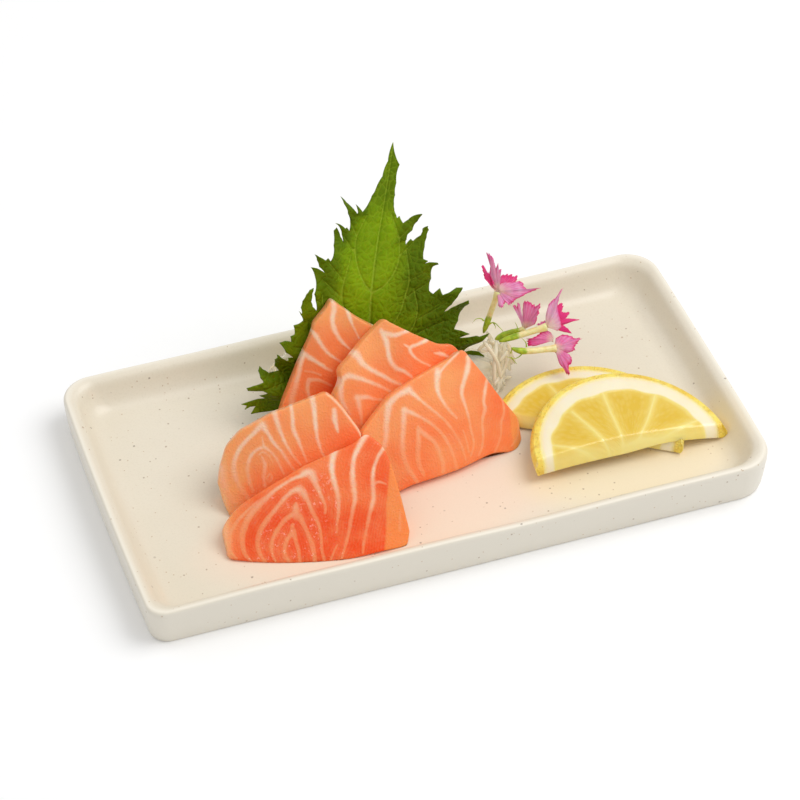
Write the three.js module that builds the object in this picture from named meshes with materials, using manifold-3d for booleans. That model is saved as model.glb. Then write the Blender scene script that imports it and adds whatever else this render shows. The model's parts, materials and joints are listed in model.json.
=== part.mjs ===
// Sashimi plate: a long stoneware tray with five slices of salmon leaning on a
// heap of daikon shreds, a shiso leaf standing behind them, two half slices of
// lemon and four pink flowers. Millimetres, +Z up, +X along the tray, origin at
// the middle of the tray's underside.
import * as THREE from "three";
import { mergeVertices } from "three/addons/utils/BufferGeometryUtils.js";
import Module from "manifold-3d";

const wasm = await Module();
wasm.setup();

// ---------------------------------------------------------------- sizes

const gap = 0.3;

const tray = {
  length: 200,
  width: 107.5,
  height: 13.5,
  sideBow: 0.9,
  rimCorners: { frontRight: 10.5, backRight: 10, backLeft: 9, frontLeft: 5.5 },
  floorCorner: 6,
  floorTop: 4.5,
  rimSwell: 0.25,
  cornerSteps: 6,
  longSteps: 8,
  shortSteps: 6,
};

const salmon = {
  faceOffset: 2.5,
  edgeRound: 0.9,
  columns: 16,
  rows: 7,
};

// Each slice stands on its foot line, turned about Z and leaning back from the
// upright. Its outline is in its own plane: s along the foot, t up the slice.
// The bends carry its ends out of that plane. A heel is where the knife ran out
// at the right end: beyond it the face falls away to a thinner edge.
const slices = [
  {
    name: "salmon_slice_1",
    foot: [-69.5, -28, 6],
    turn: -14,
    lean: 49,
    span: 57,
    rise: 40,
    thickness: 7,
    bend: { left: -4, right: -1.5 },
    ripple: { height: 0.5, wave: 24, start: 4 },
    heel: { start: 48, slant: 4, rise: 30, fall: 2.4 },
    lower: [[-0.8, 5.5], [0.4, -1], [1.9, -2.7], [19, -5], [35, -5], [47.8, -2.8], [55, -1.9]],
    upper: [[-0.8, 5.5], [-0.3, 8], [4.1, 13.3], [12.5, 18], [25, 24.4], [40.8, 30.4],
      [44.7, 33], [49.1, 29.3], [51.6, 23.7], [53.7, 14.7], [56, 3]],
  },
  {
    name: "salmon_slice_2",
    foot: [-65, -12, 6],
    turn: -14,
    lean: 38,
    span: 50,
    rise: 38,
    thickness: 7,
    bend: { left: -3, right: -7 },
    ripple: { height: 0.6, wave: 26, start: 10 },
    lower: [[-1.7, 9], [0.4, 0.9], [4.4, -4], [20, -5], [42, -4]],
    upper: [[-1.7, 9], [-0.8, 14.1], [1.5, 20.1], [5.7, 24.6], [15.9, 29.8], [28, 33.7],
      [32.8, 35], [36.6, 32.1], [42.8, 22.2], [43.5, 14]],
  },
  {
    name: "salmon_slice_5",
    foot: [-20, -20, 6],
    turn: 9,
    lean: 43,
    span: 53,
    rise: 38,
    thickness: 5,
    bend: { left: -2, right: -3 },
    ripple: { height: 0.5, wave: 28, start: 12 },
    heel: { start: 50, slant: 4, rise: 20, fall: 1.2 },
    lower: [[2.5, 12], [5, -0.5], [13.6, -0.9], [28, -1.4], [41.4, -0.5], [47.1, -2], [52.1, -2]],
    upper: [[2.5, 12], [2.7, 19.1], [7.2, 22.5], [15.6, 27.9], [25.1, 30.1], [41.3, 32.6],
      [43, 33.4], [46.7, 25.5], [50.3, 15.9], [54.7, 6.8], [53.7, 0.4]],
  },
  {
    name: "salmon_slice_4",
    foot: [-26, -5.9, 9],
    turn: 4,
    lean: 37,
    span: 50,
    rise: 40,
    thickness: 5,
    bend: { left: -2, right: -5 },
    ripple: { height: 0.9, wave: 19, start: 5 },
    lower: [[3.2, 14], [6, 2], [22, 0], [42, 0], [46, 8]],
    upper: [[3.2, 14], [3.2, 20.6], [6.2, 24.6], [6.9, 28.6], [15.8, 34.9], [24.2, 39.8],
      [30.9, 34.2], [40, 27.6], [44.9, 25.9], [46.9, 23.2]],
  },
  {
    name: "salmon_slice_3",
    foot: [-42, 11.5, 8],
    turn: -8,
    lean: 31,
    span: 45,
    rise: 44,
    thickness: 6,
    bend: { left: -2, right: -2 },
    ripple: { height: 0.9, wave: 15, start: 14 },
    lower: [[2.5, 8], [6, 2], [20, 0], [36, 2], [40, 12]],
    upper: [[2.5, 8], [3.9, 11.7], [9.8, 22.8], [15.6, 33.1], [16.2, 35.8], [22.6, 42.2],
      [29.5, 36.1], [38, 30], [40, 20]],
  },
];

// The shiso leaf stands on its base and leans back against the daikon. Its
// margin is a run of tooth tips and notches in the plane of the leaf: x across
// from the base of the midrib, y up along it. Each half lifts by keel towards
// its margin, and ruffles there by ruffle over every ruffleWave.
const shiso = {
  base: [-3, 24, 9],
  tip: [10, 46, 86],
  thickness: 0.8,
  keel: 1.6,
  ruffle: 1.5,
  ruffleWave: 17,
  flatReach: 10,
  shortVein: 6,
  veinRise: 0.5,
  columns: 4,
  midribX: [-3, -4.4, -4.8, -3.9, -2.2, -0.7],
  midribFrom: -2,
  midribTo: 82,
  left: [[-14, -4.5], [-26, -6.5], [-35, -5], [-41.5, -6], [-42, -4.5], [-44.7, -3.3],
    [-37.5, 0.4], [-44.7, 4], [-39, 5.6], [-40, 9], [-31.5, 7.6], [-35.4, 13.5],
    [-30, 12.5], [-34.7, 18], [-28.6, 17.9], [-29, 27.5], [-25.5, 29], [-25, 41.5],
    [-20.6, 41], [-25.2, 48], [-18.2, 44], [-18.3, 56.5], [-14, 50], [-16.4, 64.5],
    [-11.8, 56.5], [-11.1, 61.7], [-8.1, 60.5], [-5.8, 64.4], [-3.6, 71.2], [-2, 76]],
  right: [[4, -2], [9, -1.2], [14, 0], [20, 1], [27, 2.8], [33, 4.4], [36.3, 5.6],
    [29.3, 8.4], [28.4, 10.6], [35.2, 14.9], [28.8, 15], [23.9, 16.9], [27.7, 27],
    [20.6, 22.5], [24.8, 32], [15.6, 29.3], [17.6, 31.8], [14.4, 32], [15, 41.2],
    [11.6, 41.8], [12.6, 53.2], [6.8, 47.5], [5.6, 50.3], [9.3, 58], [3.6, 55],
    [1.4, 57.6], [0.6, 62], [0.7, 65], [0.9, 69], [1.5, 75]],
};

// Half slices of lemon. The middle of the straight cut lies at place, the cut
// runs along heading, and the round side is raised by tilt. The front slice
// rides over the back one: its middle is raised by crown, and it sinks by tip
// towards its right end.
const lemon = {
  thickness: 4.4,
  edgeRound: 0.7,
  cutRound: 0.4,
  zestBulge: 0.5,
  columns: 20,
  rows: 4,
};

const lemonSlices = [
  {
    name: "lemon_slice_back",
    place: [51.9, -16.7, 7.1],
    radius: 30,
    heading: -32,
    tilt: 0,
    tip: 0,
    crown: 0,
  },
  {
    name: "lemon_slice_front",
    place: [61.6, -30.2, 8.7],
    radius: 31.6,
    heading: -0.9,
    tilt: 0.4,
    tip: 1.5,
    crown: 3.1,
  },
];

// The heap of daikon shreds: rounded mounds run together, with shreds lying
// over them, their ends buried. Each shred starts within moundShare of a mound,
// curls at random and is pulled back towards the mound's middle. A shred that
// would cross a neighbour is left out.
const daikon = {
  mounds: [
    { centre: [-6, 34, 4.8], radii: [33, 9.5, 24] },
    { centre: [-10, 16, 4.8], radii: [32, 14, 13] },
    { centre: [27, 21, 4.8], radii: [12, 13, 17] },
    { centre: [-38, 3, 4.8], radii: [19, 12, 14] },
  ],
  domeSides: 16,
  domeRings: 10,
  shred: 1.4,
  shredCount: 14,
  shredTries: 400,
  shredLength: 26,
  shredSteps: 5,
  shredBury: 0.9,
  shredCurl: 0.25,
  shredPull: 0.18,
  shredArch: [0.6, 2.2],
  moundShare: 0.85,
  seed: 5,
};

// Dianthus flowers: the calyx at the foot, the tube through the neck to the
// mouth, and the petals that spread from there, each given by where its far
// edge lies. A petal is a narrow claw at its root, cupped along its length.
const flower = {
  tubeRadius: 0.9,
  mouthRadius: 1.4,
  calyxRadius: 1.9,
  petalThickness: 0.6,
  petalColumns: 4,
  petalRows: 3,
  toothDepth: 0.9,
  petalRoot: 0.4,
  clawShare: 0.28,
  cupShare: 0.12,
  sideCurl: 0.6,
};

const flowers = [
  {
    name: "flower_1",
    foot: [32, 24, 21],
    neck: [33.8, 24.6, 26],
    mouth: [37.2, 25.6, 35.5],
    petals: [
      { end: [42, 28, 43.5], width: 7 },
      { end: [51.5, 24.5, 35], width: 9 },
      { end: [33, 27, 51], width: 3.5 },
      { end: [33, 23, 44], width: 4.5 },
      { end: [43, 18, 38], width: 6 },
    ],
  },
  {
    name: "flower_2",
    foot: [36, 24, 17],
    neck: [40, 22.5, 19.5],
    mouth: [44.6, 20.6, 22],
    petals: [
      { end: [46.4, 22.5, 33.5], width: 6.5 },
      { end: [41.6, 22.5, 33], width: 3.2 },
      { end: [53.5, 20.5, 18.5], width: 5 },
    ],
  },
  {
    name: "flower_3",
    foot: [35, 18, 21.5],
    neck: [42.6, 17.6, 22.6],
    mouth: [50.6, 17, 24],
    petals: [
      { end: [59, 18, 29.5], width: 6.5 },
      { end: [60.5, 15.5, 23.5], width: 6 },
      { end: [57.5, 20.5, 20.5], width: 5.5 },
    ],
  },
  {
    name: "flower_4",
    foot: [37.6, 13.6, 21.6],
    neck: [42.2, 13.4, 19.2],
    mouth: [52.2, 12.6, 18.2],
    petals: [
      { end: [62, 13, 18.4], width: 6.5 },
      { end: [54.2, 6.5, 10.6], width: 5.5 },
      { end: [59.5, 17.5, 13], width: 5.5 },
    ],
  },
];

// ---------------------------------------------------------------- helpers

const up = new THREE.Vector3(0, 0, 1);
const radians = THREE.MathUtils.degToRad;

function vector(list) {
  return new THREE.Vector3(...list);
}

function smoothPath(points) {
  return new THREE.SplineCurve(points.map(([x, y]) => new THREE.Vector2(x, y)));
}

// A repeatable run of numbers between 0 and 1.
function numberStream(seed) {
  let state = seed;
  return () => {
    state = (state * 16807) % 2147483647;
    return state / 2147483647;
  };
}

// Merge shared corners and drop the triangles that closed up.
function closedGeometry(positions, triangles) {
  const loose = new THREE.BufferGeometry();
  loose.setAttribute("position", new THREE.Float32BufferAttribute(positions, 3));
  loose.setIndex(triangles);
  const merged = mergeVertices(loose, 1e-4);
  const index = merged.index.array;
  const kept = [];
  for (let i = 0; i < index.length; i += 3) {
    const [a, b, c] = [index[i], index[i + 1], index[i + 2]];
    if (a !== b && b !== c && a !== c) {
      kept.push(a, b, c);
    }
  }
  merged.setIndex(kept);
  return merged;
}

function toSolid(geometry) {
  const bare = new THREE.BufferGeometry();
  bare.setAttribute("position", geometry.getAttribute("position"));
  if (geometry.index) {
    bare.setIndex(geometry.index);
  }
  const merged = mergeVertices(bare, 1e-4);
  return new wasm.Manifold(new wasm.Mesh({
    numProp: 3,
    vertProperties: new Float32Array(merged.getAttribute("position").array),
    triVerts: new Uint32Array(merged.index.array),
  }));
}

// Keep the largest body, so that no loose scrap of a cut stays behind.
function toGeometry(solid) {
  const bodies = solid.decompose();
  bodies.sort((a, b) => b.volume() - a.volume());
  const { vertProperties, triVerts, numProp } = bodies[0].getMesh();
  const positions = [];
  for (let i = 0; i < vertProperties.length; i += numProp) {
    positions.push(vertProperties[i], vertProperties[i + 1], vertProperties[i + 2]);
  }
  const geometry = new THREE.BufferGeometry();
  geometry.setAttribute("position", new THREE.Float32BufferAttribute(positions, 3));
  geometry.setIndex(Array.from(triVerts));
  return geometry;
}

// A body skinned through a stack of rings with equal point counts, closed by a
// fan at each end. Rings run anticlockwise seen from where the stack is going.
function ringStack(rings) {
  const count = rings[0].length;
  const positions = [];
  const triangles = [];
  for (const ring of rings) {
    for (const point of ring) {
      positions.push(point.x, point.y, point.z);
    }
  }
  for (let r = 0; r + 1 < rings.length; r += 1) {
    for (let i = 0; i < count; i += 1) {
      const a = r * count + i;
      const b = r * count + ((i + 1) % count);
      triangles.push(a, b, b + count, a, b + count, a + count);
    }
  }
  for (const last of [false, true]) {
    const ring = last ? rings[rings.length - 1] : rings[0];
    const middle = new THREE.Vector3();
    ring.forEach((point) => middle.addScaledVector(point, 1 / count));
    const hub = positions.length / 3;
    positions.push(middle.x, middle.y, middle.z);
    const first = last ? (rings.length - 1) * count : 0;
    for (let i = 0; i < count; i += 1) {
      const a = first + i;
      const b = first + ((i + 1) % count);
      triangles.push(...(last ? [a, b, hub] : [b, a, hub]));
    }
  }
  return closedGeometry(positions, triangles);
}

// A slab between a front and a back skin over the same grid. place(u, v, level)
// gives a point of the skin, where level runs from 0 at the front to 1 at the
// back; levels between them shape the edge.
function slab(columns, rows, levels, place) {
  const positions = [];
  const triangles = [];
  const add = (u, v, level) => {
    const point = place(u, v, level);
    positions.push(point.x, point.y, point.z);
    return positions.length / 3 - 1;
  };
  for (const level of [levels[0], levels[levels.length - 1]]) {
    const front = level === levels[0];
    const grid = [];
    for (let j = 0; j <= rows; j += 1) {
      grid.push([]);
      for (let i = 0; i <= columns; i += 1) {
        grid[j].push(add(i / columns, j / rows, level));
      }
    }
    for (let j = 0; j < rows; j += 1) {
      for (let i = 0; i < columns; i += 1) {
        const [a, b] = [grid[j][i], grid[j][i + 1]];
        const [d, c] = [grid[j + 1][i], grid[j + 1][i + 1]];
        triangles.push(...(front ? [a, b, c, a, c, d] : [a, c, b, a, d, c]));
      }
    }
  }
  const rim = [];
  for (let i = 0; i < columns; i += 1) {
    rim.push([i / columns, 0]);
  }
  for (let j = 0; j < rows; j += 1) {
    rim.push([1, j / rows]);
  }
  for (let i = columns; i > 0; i -= 1) {
    rim.push([i / columns, 1]);
  }
  for (let j = rows; j > 0; j -= 1) {
    rim.push([0, j / rows]);
  }
  const bands = levels.map((level) => rim.map(([u, v]) => add(u, v, level)));
  for (let k = 0; k + 1 < bands.length; k += 1) {
    for (let i = 0; i < rim.length; i += 1) {
      const next = (i + 1) % rim.length;
      const [a, b] = [bands[k][i], bands[k][next]];
      const [d, c] = [bands[k + 1][i], bands[k + 1][next]];
      triangles.push(a, c, b, a, d, c);
    }
  }
  return closedGeometry(positions, triangles);
}

// Half the space below a height, used to trim what rests on the tray's floor.
function spaceBelow(height) {
  const side = 2 * tray.length;
  const block = new THREE.BoxGeometry(side, side, side);
  block.translate(0, 0, height - side / 2);
  return toSolid(block);
}

// ---------------------------------------------------------------- tray

// One level line of the tray: a rounded oblong whose short sides bow outward and
// whose four corners, shaped by hand, each have their own radius.
function trayRing(inset, height, swell) {
  const halfX = tray.length / 2 - inset;
  const halfY = tray.width / 2 - inset;
  const ring = [];
  const add = (x, y) => {
    const bowed = x + tray.sideBow * (1 - (y / halfY) ** 2) * (x / halfX);
    const wave = Math.sin(x / 21 + 0.6) * Math.cos(y / 17) + 0.6 * Math.sin(x / 9.5 + y / 13);
    ring.push(new THREE.Vector3(bowed, y, height + swell * tray.rimSwell * wave));
  };
  const cornerRadius = (rimCorner) => {
    const radius = THREE.MathUtils.mapLinear(inset, 0, 11, rimCorner, tray.floorCorner);
    return Math.max(radius, Math.min(rimCorner, tray.floorCorner));
  };
  const { frontRight, backRight, backLeft, frontLeft } = tray.rimCorners;
  const corners = [[1, -1, -90, frontRight], [1, 1, 0, backRight],
    [-1, 1, 90, backLeft], [-1, -1, 180, frontLeft]];
  corners.forEach(([signX, signY, start, rimCorner], side) => {
    const corner = cornerRadius(rimCorner);
    const next = cornerRadius(corners[(side + 1) % corners.length][3]);
    const centreX = signX * (halfX - corner);
    const centreY = signY * (halfY - corner);
    for (let i = 0; i <= tray.cornerSteps; i += 1) {
      const angle = radians(start + (90 * i) / tray.cornerSteps);
      add(centreX + corner * Math.cos(angle), centreY + corner * Math.sin(angle));
    }
    const alongY = side % 2 === 0;
    const steps = alongY ? tray.shortSteps : tray.longSteps;
    const half = alongY ? halfY : halfX;
    for (let i = 1; i < steps; i += 1) {
      const travel = THREE.MathUtils.lerp(half - corner, next - half, i / steps);
      if (alongY) {
        add(signX * halfX, -signX * travel);
      } else {
        add(signY * travel, signY * halfY);
      }
    }
  });
  return ring;
}

function trayGeometry(grow = 0) {
  const { height, floorTop } = tray;
  const profile = [
    [15, 0.9],
    [12.5, 0.9],
    [11.5, 0],
    [2.2, 0],
    [1.1, 0.8],
    [0.7, 2.8],
    [0.3, 7.2],
    [0, 11.8],
    [0.3, 13.1],
    [1, height],
    [2.4, 13.2],
    [3.9, 12],
    [5.4, 9],
    [7.5, 6],
    [10.6, floorTop],
  ];
  const crest = profile.findIndex(([, level]) => level === height);
  const rings = profile.map(([inset, level], index) => {
    const swell = THREE.MathUtils.smoothstep(level, floorTop, height);
    const spread = index > crest ? grow : 0;
    return trayRing(inset + spread, level + spread, swell);
  });
  return ringStack(rings);
}

// ---------------------------------------------------------------- salmon

function sliceFrame({ foot, turn, lean }) {
  const along = new THREE.Vector3(1, 0, 0).applyAxisAngle(up, radians(turn));
  const level = new THREE.Vector3(0, 1, 0).applyAxisAngle(up, radians(turn));
  const rise = level.multiplyScalar(Math.sin(radians(lean))).addScaledVector(up, Math.cos(radians(lean)));
  const facing = along.clone().cross(rise);
  return { origin: vector(foot), along, rise, facing };
}

// How far the slice's face stands out of its own plane.
function sliceBow({ span, rise, bend, ripple, heel }, s, t) {
  const across = (2 * s) / span - 1;
  const high = t / rise;
  const wave = Math.sin((2 * Math.PI * (s - ripple.start)) / ripple.wave);
  const bow = bend.left * Math.max(0, -across) ** 2
    + bend.right * Math.max(0, across) ** 2
    + ripple.height * wave * Math.max(0, high);
  if (!heel) {
    return bow;
  }
  const crease = heel.start + (heel.slant * t) / heel.rise;
  const beyond = THREE.MathUtils.clamp((s - crease) / (span - heel.start), 0, 1);
  return bow - heel.fall * beyond * THREE.MathUtils.clamp(1 - high, 0, 1);
}

function sliceGeometry(slice, grow = 0) {
  const { origin, along, rise, facing } = sliceFrame(slice);
  const lower = smoothPath(slice.lower);
  const upper = smoothPath(slice.upper);
  const middle = new THREE.Vector2(slice.span / 2, slice.rise * 0.4);
  const depth = slice.thickness + 2 * grow;
  const place = (u, v, level) => {
    const point = lower.getPointAt(u).lerp(upper.getPointAt(u), v);
    const onFace = level === 0 || level === 1;
    const reach = 1 + (grow - (onFace ? salmon.edgeRound : 0)) / (slice.span / 2);
    point.sub(middle).multiplyScalar(reach).add(middle);
    const offset = salmon.faceOffset + grow - depth * level + sliceBow(slice, point.x, point.y);
    return origin.clone()
      .addScaledVector(along, point.x)
      .addScaledVector(rise, point.y)
      .addScaledVector(facing, offset);
  };
  const round = salmon.edgeRound / depth;
  return slab(salmon.columns, salmon.rows, [0, round, 1 - round, 1], place);
}

// ---------------------------------------------------------------- leaf

function leafGeometry(grow = 0) {
  const base = vector(shiso.base);
  const rise = vector(shiso.tip).sub(base);
  const length = rise.length();
  rise.normalize();
  const across = new THREE.Vector3(1, 0, 0).addScaledVector(rise, -rise.x).normalize();
  const facing = across.clone().cross(rise);
  const { midribX, midribFrom, midribTo } = shiso;
  const bow = smoothPath(midribX.map((x, i) => [x, i]));
  const ribAt = (y) => {
    const share = THREE.MathUtils.clamp((y - midribFrom) / (midribTo - midribFrom), 0, 1);
    return new THREE.Vector2(bow.getPoint(share).x, y);
  };
  const half = shiso.thickness / 2 + grow;
  const tip = [midribX[midribX.length - 1], midribTo];
  const margins = [shiso.left, shiso.right].map((points) => [...points, tip]);

  // Each row runs out from the midrib to both margins along a pair of veins,
  // which leave the midrib lower down than they end.
  let highest = midribFrom + 1;
  const roots = margins[0].map((leftPoint, row) => {
    const starts = margins
      .map((points) => points[row][1] - shiso.veinRise * Math.abs(points[row][0]));
    highest = Math.max(highest, (starts[0] + starts[1]) / 2);
    return ribAt(highest);
  });
  roots[roots.length - 1] = new THREE.Vector2(...tip);
  const height = (spread, left, root) => {
    const wave = Math.sin((2 * Math.PI * root.y) / shiso.ruffleWave + (left ? 0.4 : 2.1));
    return shiso.keel * spread + shiso.ruffle * spread * spread * wave;
  };
  const positions = [];
  const triangles = [];
  const point = (x, y, offset) => {
    const spot = base.clone()
      .addScaledVector(across, x)
      .addScaledVector(rise, y)
      .addScaledVector(facing, offset);
    positions.push(spot.x, spot.y, spot.z);
    return positions.length / 3 - 1;
  };
  const grids = [1, -1].map((face) => margins.map((points, side) => points.map(([x, y], row) => {
    const root = roots[row];
    const reach = Math.hypot(x - root.x, y - root.y);
    const line = [];
    for (let i = 0; i <= shiso.columns; i += 1) {
      const share = i / shiso.columns;
      const stretch = share * (1 + grow / Math.max(shiso.shortVein, reach));
      const px = THREE.MathUtils.lerp(root.x, x, stretch);
      const py = THREE.MathUtils.lerp(root.y, y, stretch);
      const spread = share * Math.min(1, reach / shiso.flatReach);
      line.push(point(px, py, height(spread, side === 0, root) + face * half));
    }
    return line;
  })));
  const quad = (a, b, c, d, flip) => {
    triangles.push(...(flip ? [a, c, b, a, d, c] : [a, b, c, a, c, d]));
  };
  grids.forEach(([left, right], back) => {
    for (const [lines, mirrored] of [[right, false], [left, true]]) {
      for (let r = 0; r + 1 < lines.length; r += 1) {
        for (let i = 0; i < shiso.columns; i += 1) {
          const [low, high] = [lines[r], lines[r + 1]];
          quad(low[i], low[i + 1], high[i + 1], high[i], mirrored !== (back === 1));
        }
      }
    }
  });
  // The cut edge all round, from the base up each side to the tip.
  [0, 1].forEach((side) => {
    const [front, rear] = [grids[0][side], grids[1][side]];
    const edge = (lines) => [...lines[0], ...lines.slice(1).map((line) => line[shiso.columns])];
    const [near, far] = [edge(front), edge(rear)];
    for (let i = 0; i + 1 < near.length; i += 1) {
      quad(near[i], far[i], far[i + 1], near[i + 1], side === 0);
    }
  });
  return closedGeometry(positions, triangles);
}

// ---------------------------------------------------------------- lemon

function lemonGeometry(slice, grow = 0) {
  const along = new THREE.Vector3(1, 0, 0).applyAxisAngle(up, radians(slice.heading));
  const level = new THREE.Vector3(0, 1, 0).applyAxisAngle(up, radians(slice.heading));
  const inward = level.applyAxisAngle(along, radians(slice.tilt));
  const normal = along.clone().cross(inward);
  const { thickness, edgeRound, zestBulge, columns, rows } = lemon;
  const depth = thickness + 2 * grow;
  const place = (u, v, layer) => {
    const angle = Math.PI * (1 - u);
    const onFace = layer === 0 || layer === 1;
    const swell = layer === 0.5 ? zestBulge * v : 0;
    const reach = slice.radius + grow - (onFace ? edgeRound : 0) + swell;
    const x = reach * Math.cos(angle);
    const y = reach * Math.sin(angle) * v + (1 - v) * (onFace ? lemon.cutRound : -grow);
    const share = x / slice.radius;
    const offset = depth * (0.5 - layer) - slice.tip * share + slice.crown * (1 - share * share);
    return vector(slice.place)
      .addScaledVector(along, x)
      .addScaledVector(inward, y)
      .addScaledVector(normal, offset);
  };
  const round = edgeRound / depth;
  return slab(columns, rows, [0, round, 0.5, 1 - round, 1], place);
}

// ---------------------------------------------------------------- daikon

function moundTop(x, y) {
  let top = tray.floorTop + gap;
  for (const { centre, radii } of daikon.mounds) {
    const left = 1 - ((x - centre[0]) / radii[0]) ** 2 - ((y - centre[1]) / radii[1]) ** 2;
    if (left > 0) {
      top = Math.max(top, centre[2] + radii[2] * Math.sqrt(left));
    }
  }
  return top;
}

function shredGeometry(random) {
  const { mounds, shred, shredLength, shredSteps, shredBury } = daikon;
  const mound = mounds[Math.floor(random() * mounds.length)];
  const around = random() * 2 * Math.PI;
  const out = daikon.moundShare * Math.sqrt(random());
  let x = mound.centre[0] + mound.radii[0] * out * Math.cos(around);
  let y = mound.centre[1] + mound.radii[1] * out * Math.sin(around);
  let heading = random() * 2 * Math.PI;
  const curl = (2 * random() - 1) * daikon.shredCurl;
  const arch = THREE.MathUtils.lerp(...daikon.shredArch, random());
  const step = (shredLength * (0.7 + 0.6 * random())) / shredSteps;
  const points = [];
  for (let i = 0; i <= shredSteps; i += 1) {
    const lift = (arch + 2 * shredBury) * Math.sin((Math.PI * i) / shredSteps) - shredBury;
    const height = Math.max(moundTop(x, y) + lift, tray.floorTop + gap + shred / 2);
    points.push(new THREE.Vector3(x, y, height));
    const towards = Math.atan2(mound.centre[1] - y, mound.centre[0] - x);
    heading += curl;
    heading += daikon.shredPull * Math.sin(towards - heading);
    x += step * Math.cos(heading);
    y += step * Math.sin(heading);
  }
  const half = shred / 2;
  const section = new THREE.Shape();
  section.moveTo(-half, -half);
  section.lineTo(half, -half);
  section.lineTo(half, half);
  section.lineTo(-half, half);
  section.closePath();
  const path = new THREE.CatmullRomCurve3(points);
  return new THREE.ExtrudeGeometry(section, {
    steps: shredSteps,
    extrudePath: path,
    bevelEnabled: false,
  });
}

function daikonSolid(neighbours) {
  const domes = daikon.mounds.map(({ centre, radii }) => {
    const dome = new THREE.SphereGeometry(1, daikon.domeSides, daikon.domeRings);
    dome.rotateX(Math.PI / 2);
    dome.scale(...radii);
    dome.translate(...centre);
    return toSolid(dome);
  });
  const core = wasm.Manifold.union(domes).subtract(neighbours);
  const random = numberStream(daikon.seed);
  const shreds = [];
  for (let i = 0; i < daikon.shredTries && shreds.length < daikon.shredCount; i += 1) {
    const shred = toSolid(shredGeometry(random));
    if (shred.intersect(neighbours).isEmpty()) {
      shreds.push(shred);
    }
  }
  return wasm.Manifold.union([core, ...shreds]);
}

// ---------------------------------------------------------------- flowers

// The green calyx at the foot, then the pale tube that opens at the mouth.
function stalkGeometry({ foot, neck, mouth }, grow) {
  const path = new THREE.CatmullRomCurve3([foot, neck, mouth].map(vector));
  const sides = 8;
  const pathSteps = 20;
  const stations = [
    [0, flower.tubeRadius],
    [0.12, flower.calyxRadius],
    [0.34, flower.calyxRadius * 0.85],
    [0.42, flower.tubeRadius],
    [0.75, flower.tubeRadius],
    [1, flower.mouthRadius],
  ];
  const frames = path.computeFrenetFrames(pathSteps, false);
  const rings = stations.map(([share, radius]) => {
    const frame = Math.round(share * pathSteps);
    const centre = path.getPointAt(share);
    const ring = [];
    for (let i = 0; i < sides; i += 1) {
      const angle = (2 * Math.PI * i) / sides;
      ring.push(centre.clone()
        .addScaledVector(frames.normals[frame], (radius + grow) * Math.cos(angle))
        .addScaledVector(frames.binormals[frame], (radius + grow) * Math.sin(angle)));
    }
    return ring;
  });
  return ringStack(rings);
}

// A petal fans out from the mouth and ends in a row of small teeth.
function petalGeometry({ neck, mouth }, { end, width }, grow) {
  const start = vector(mouth);
  const reach = vector(end).sub(start);
  const length = reach.length();
  const stem = start.clone().sub(vector(neck)).normalize();
  const outward = reach.clone().normalize();
  const side = stem.clone().cross(outward).normalize();
  const facing = side.clone().cross(outward);
  const place = (u, v, level) => {
    const notch = v === 1 && Math.round(u * flower.petalColumns) % 2 === 0;
    const along = (length - (notch ? flower.toothDepth : 0)) * v - flower.petalRoot;
    const opened = Math.max(flower.clawShare, v * Math.sin(Math.min(1, 0.2 + v) * Math.PI / 2));
    const across = (width + 2 * grow) * (u - 0.5) * opened;
    const cup = flower.cupShare * length * Math.sin(Math.PI * v) - flower.sideCurl * (2 * u - 1) ** 2;
    const offset = (flower.petalThickness / 2 + grow) * (1 - 2 * level);
    return start.clone()
      .addScaledVector(outward, along)
      .addScaledVector(side, across)
      .addScaledVector(facing, offset - cup);
  };
  return slab(flower.petalColumns, flower.petalRows, [0, 1], place);
}

function flowerSolid(spec, grow = 0) {
  const stalk = toSolid(stalkGeometry(spec, grow));
  const petals = spec.petals.map((petal) => toSolid(petalGeometry(spec, petal, grow)));
  return wasm.Manifold.union([stalk, ...petals]);
}

// ---------------------------------------------------------------- assembly

const glaze = new THREE.MeshStandardMaterial({ color: 0xe3dccb, roughness: 0.35, metalness: 0 });
const flesh = new THREE.MeshStandardMaterial({ color: 0xf08a5c, roughness: 0.35, metalness: 0 });
const green = new THREE.MeshStandardMaterial({ color: 0x4f7a12, roughness: 0.55, metalness: 0 });
const peel = new THREE.MeshStandardMaterial({ color: 0xf0cd28, roughness: 0.4, metalness: 0 });
const white = new THREE.MeshStandardMaterial({ color: 0xf1efe4, roughness: 0.3, metalness: 0 });
const pink = new THREE.MeshStandardMaterial({ color: 0xd77ba8, roughness: 0.6, metalness: 0 });

const plate = new THREE.Group();

function addMesh(name, geometry, material) {
  const mesh = new THREE.Mesh(geometry, material);
  mesh.name = name;
  plate.add(mesh);
}

const trimFloor = spaceBelow(tray.floorTop + gap).add(toSolid(trayGeometry(gap)));
addMesh("plate", trayGeometry(), glaze);

// Each slice gives way to those in front of it, as soft flesh does.
const takenBySlices = [];
for (const slice of slices) {
  let body = toSolid(sliceGeometry(slice)).subtract(trimFloor);
  for (const taken of takenBySlices) {
    body = body.subtract(taken);
  }
  takenBySlices.push(toSolid(sliceGeometry(slice, gap)));
  addMesh(slice.name, toGeometry(body), flesh);
}

const leafRoom = toSolid(leafGeometry(gap));
let leaf = toSolid(leafGeometry()).subtract(trimFloor);
for (const taken of takenBySlices) {
  leaf = leaf.subtract(taken);
}
addMesh("shiso_leaf", toGeometry(leaf), green);

// The back slice of lemon gives way to the front one that rides over it.
const lemonRooms = lemonSlices.map((slice) => toSolid(lemonGeometry(slice, gap)));
lemonSlices.forEach((slice, index) => {
  let body = toSolid(lemonGeometry(slice)).subtract(trimFloor);
  for (const taken of [...takenBySlices, ...lemonRooms.slice(index + 1)]) {
    body = body.subtract(taken);
  }
  addMesh(slice.name, toGeometry(body), peel);
});

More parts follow.
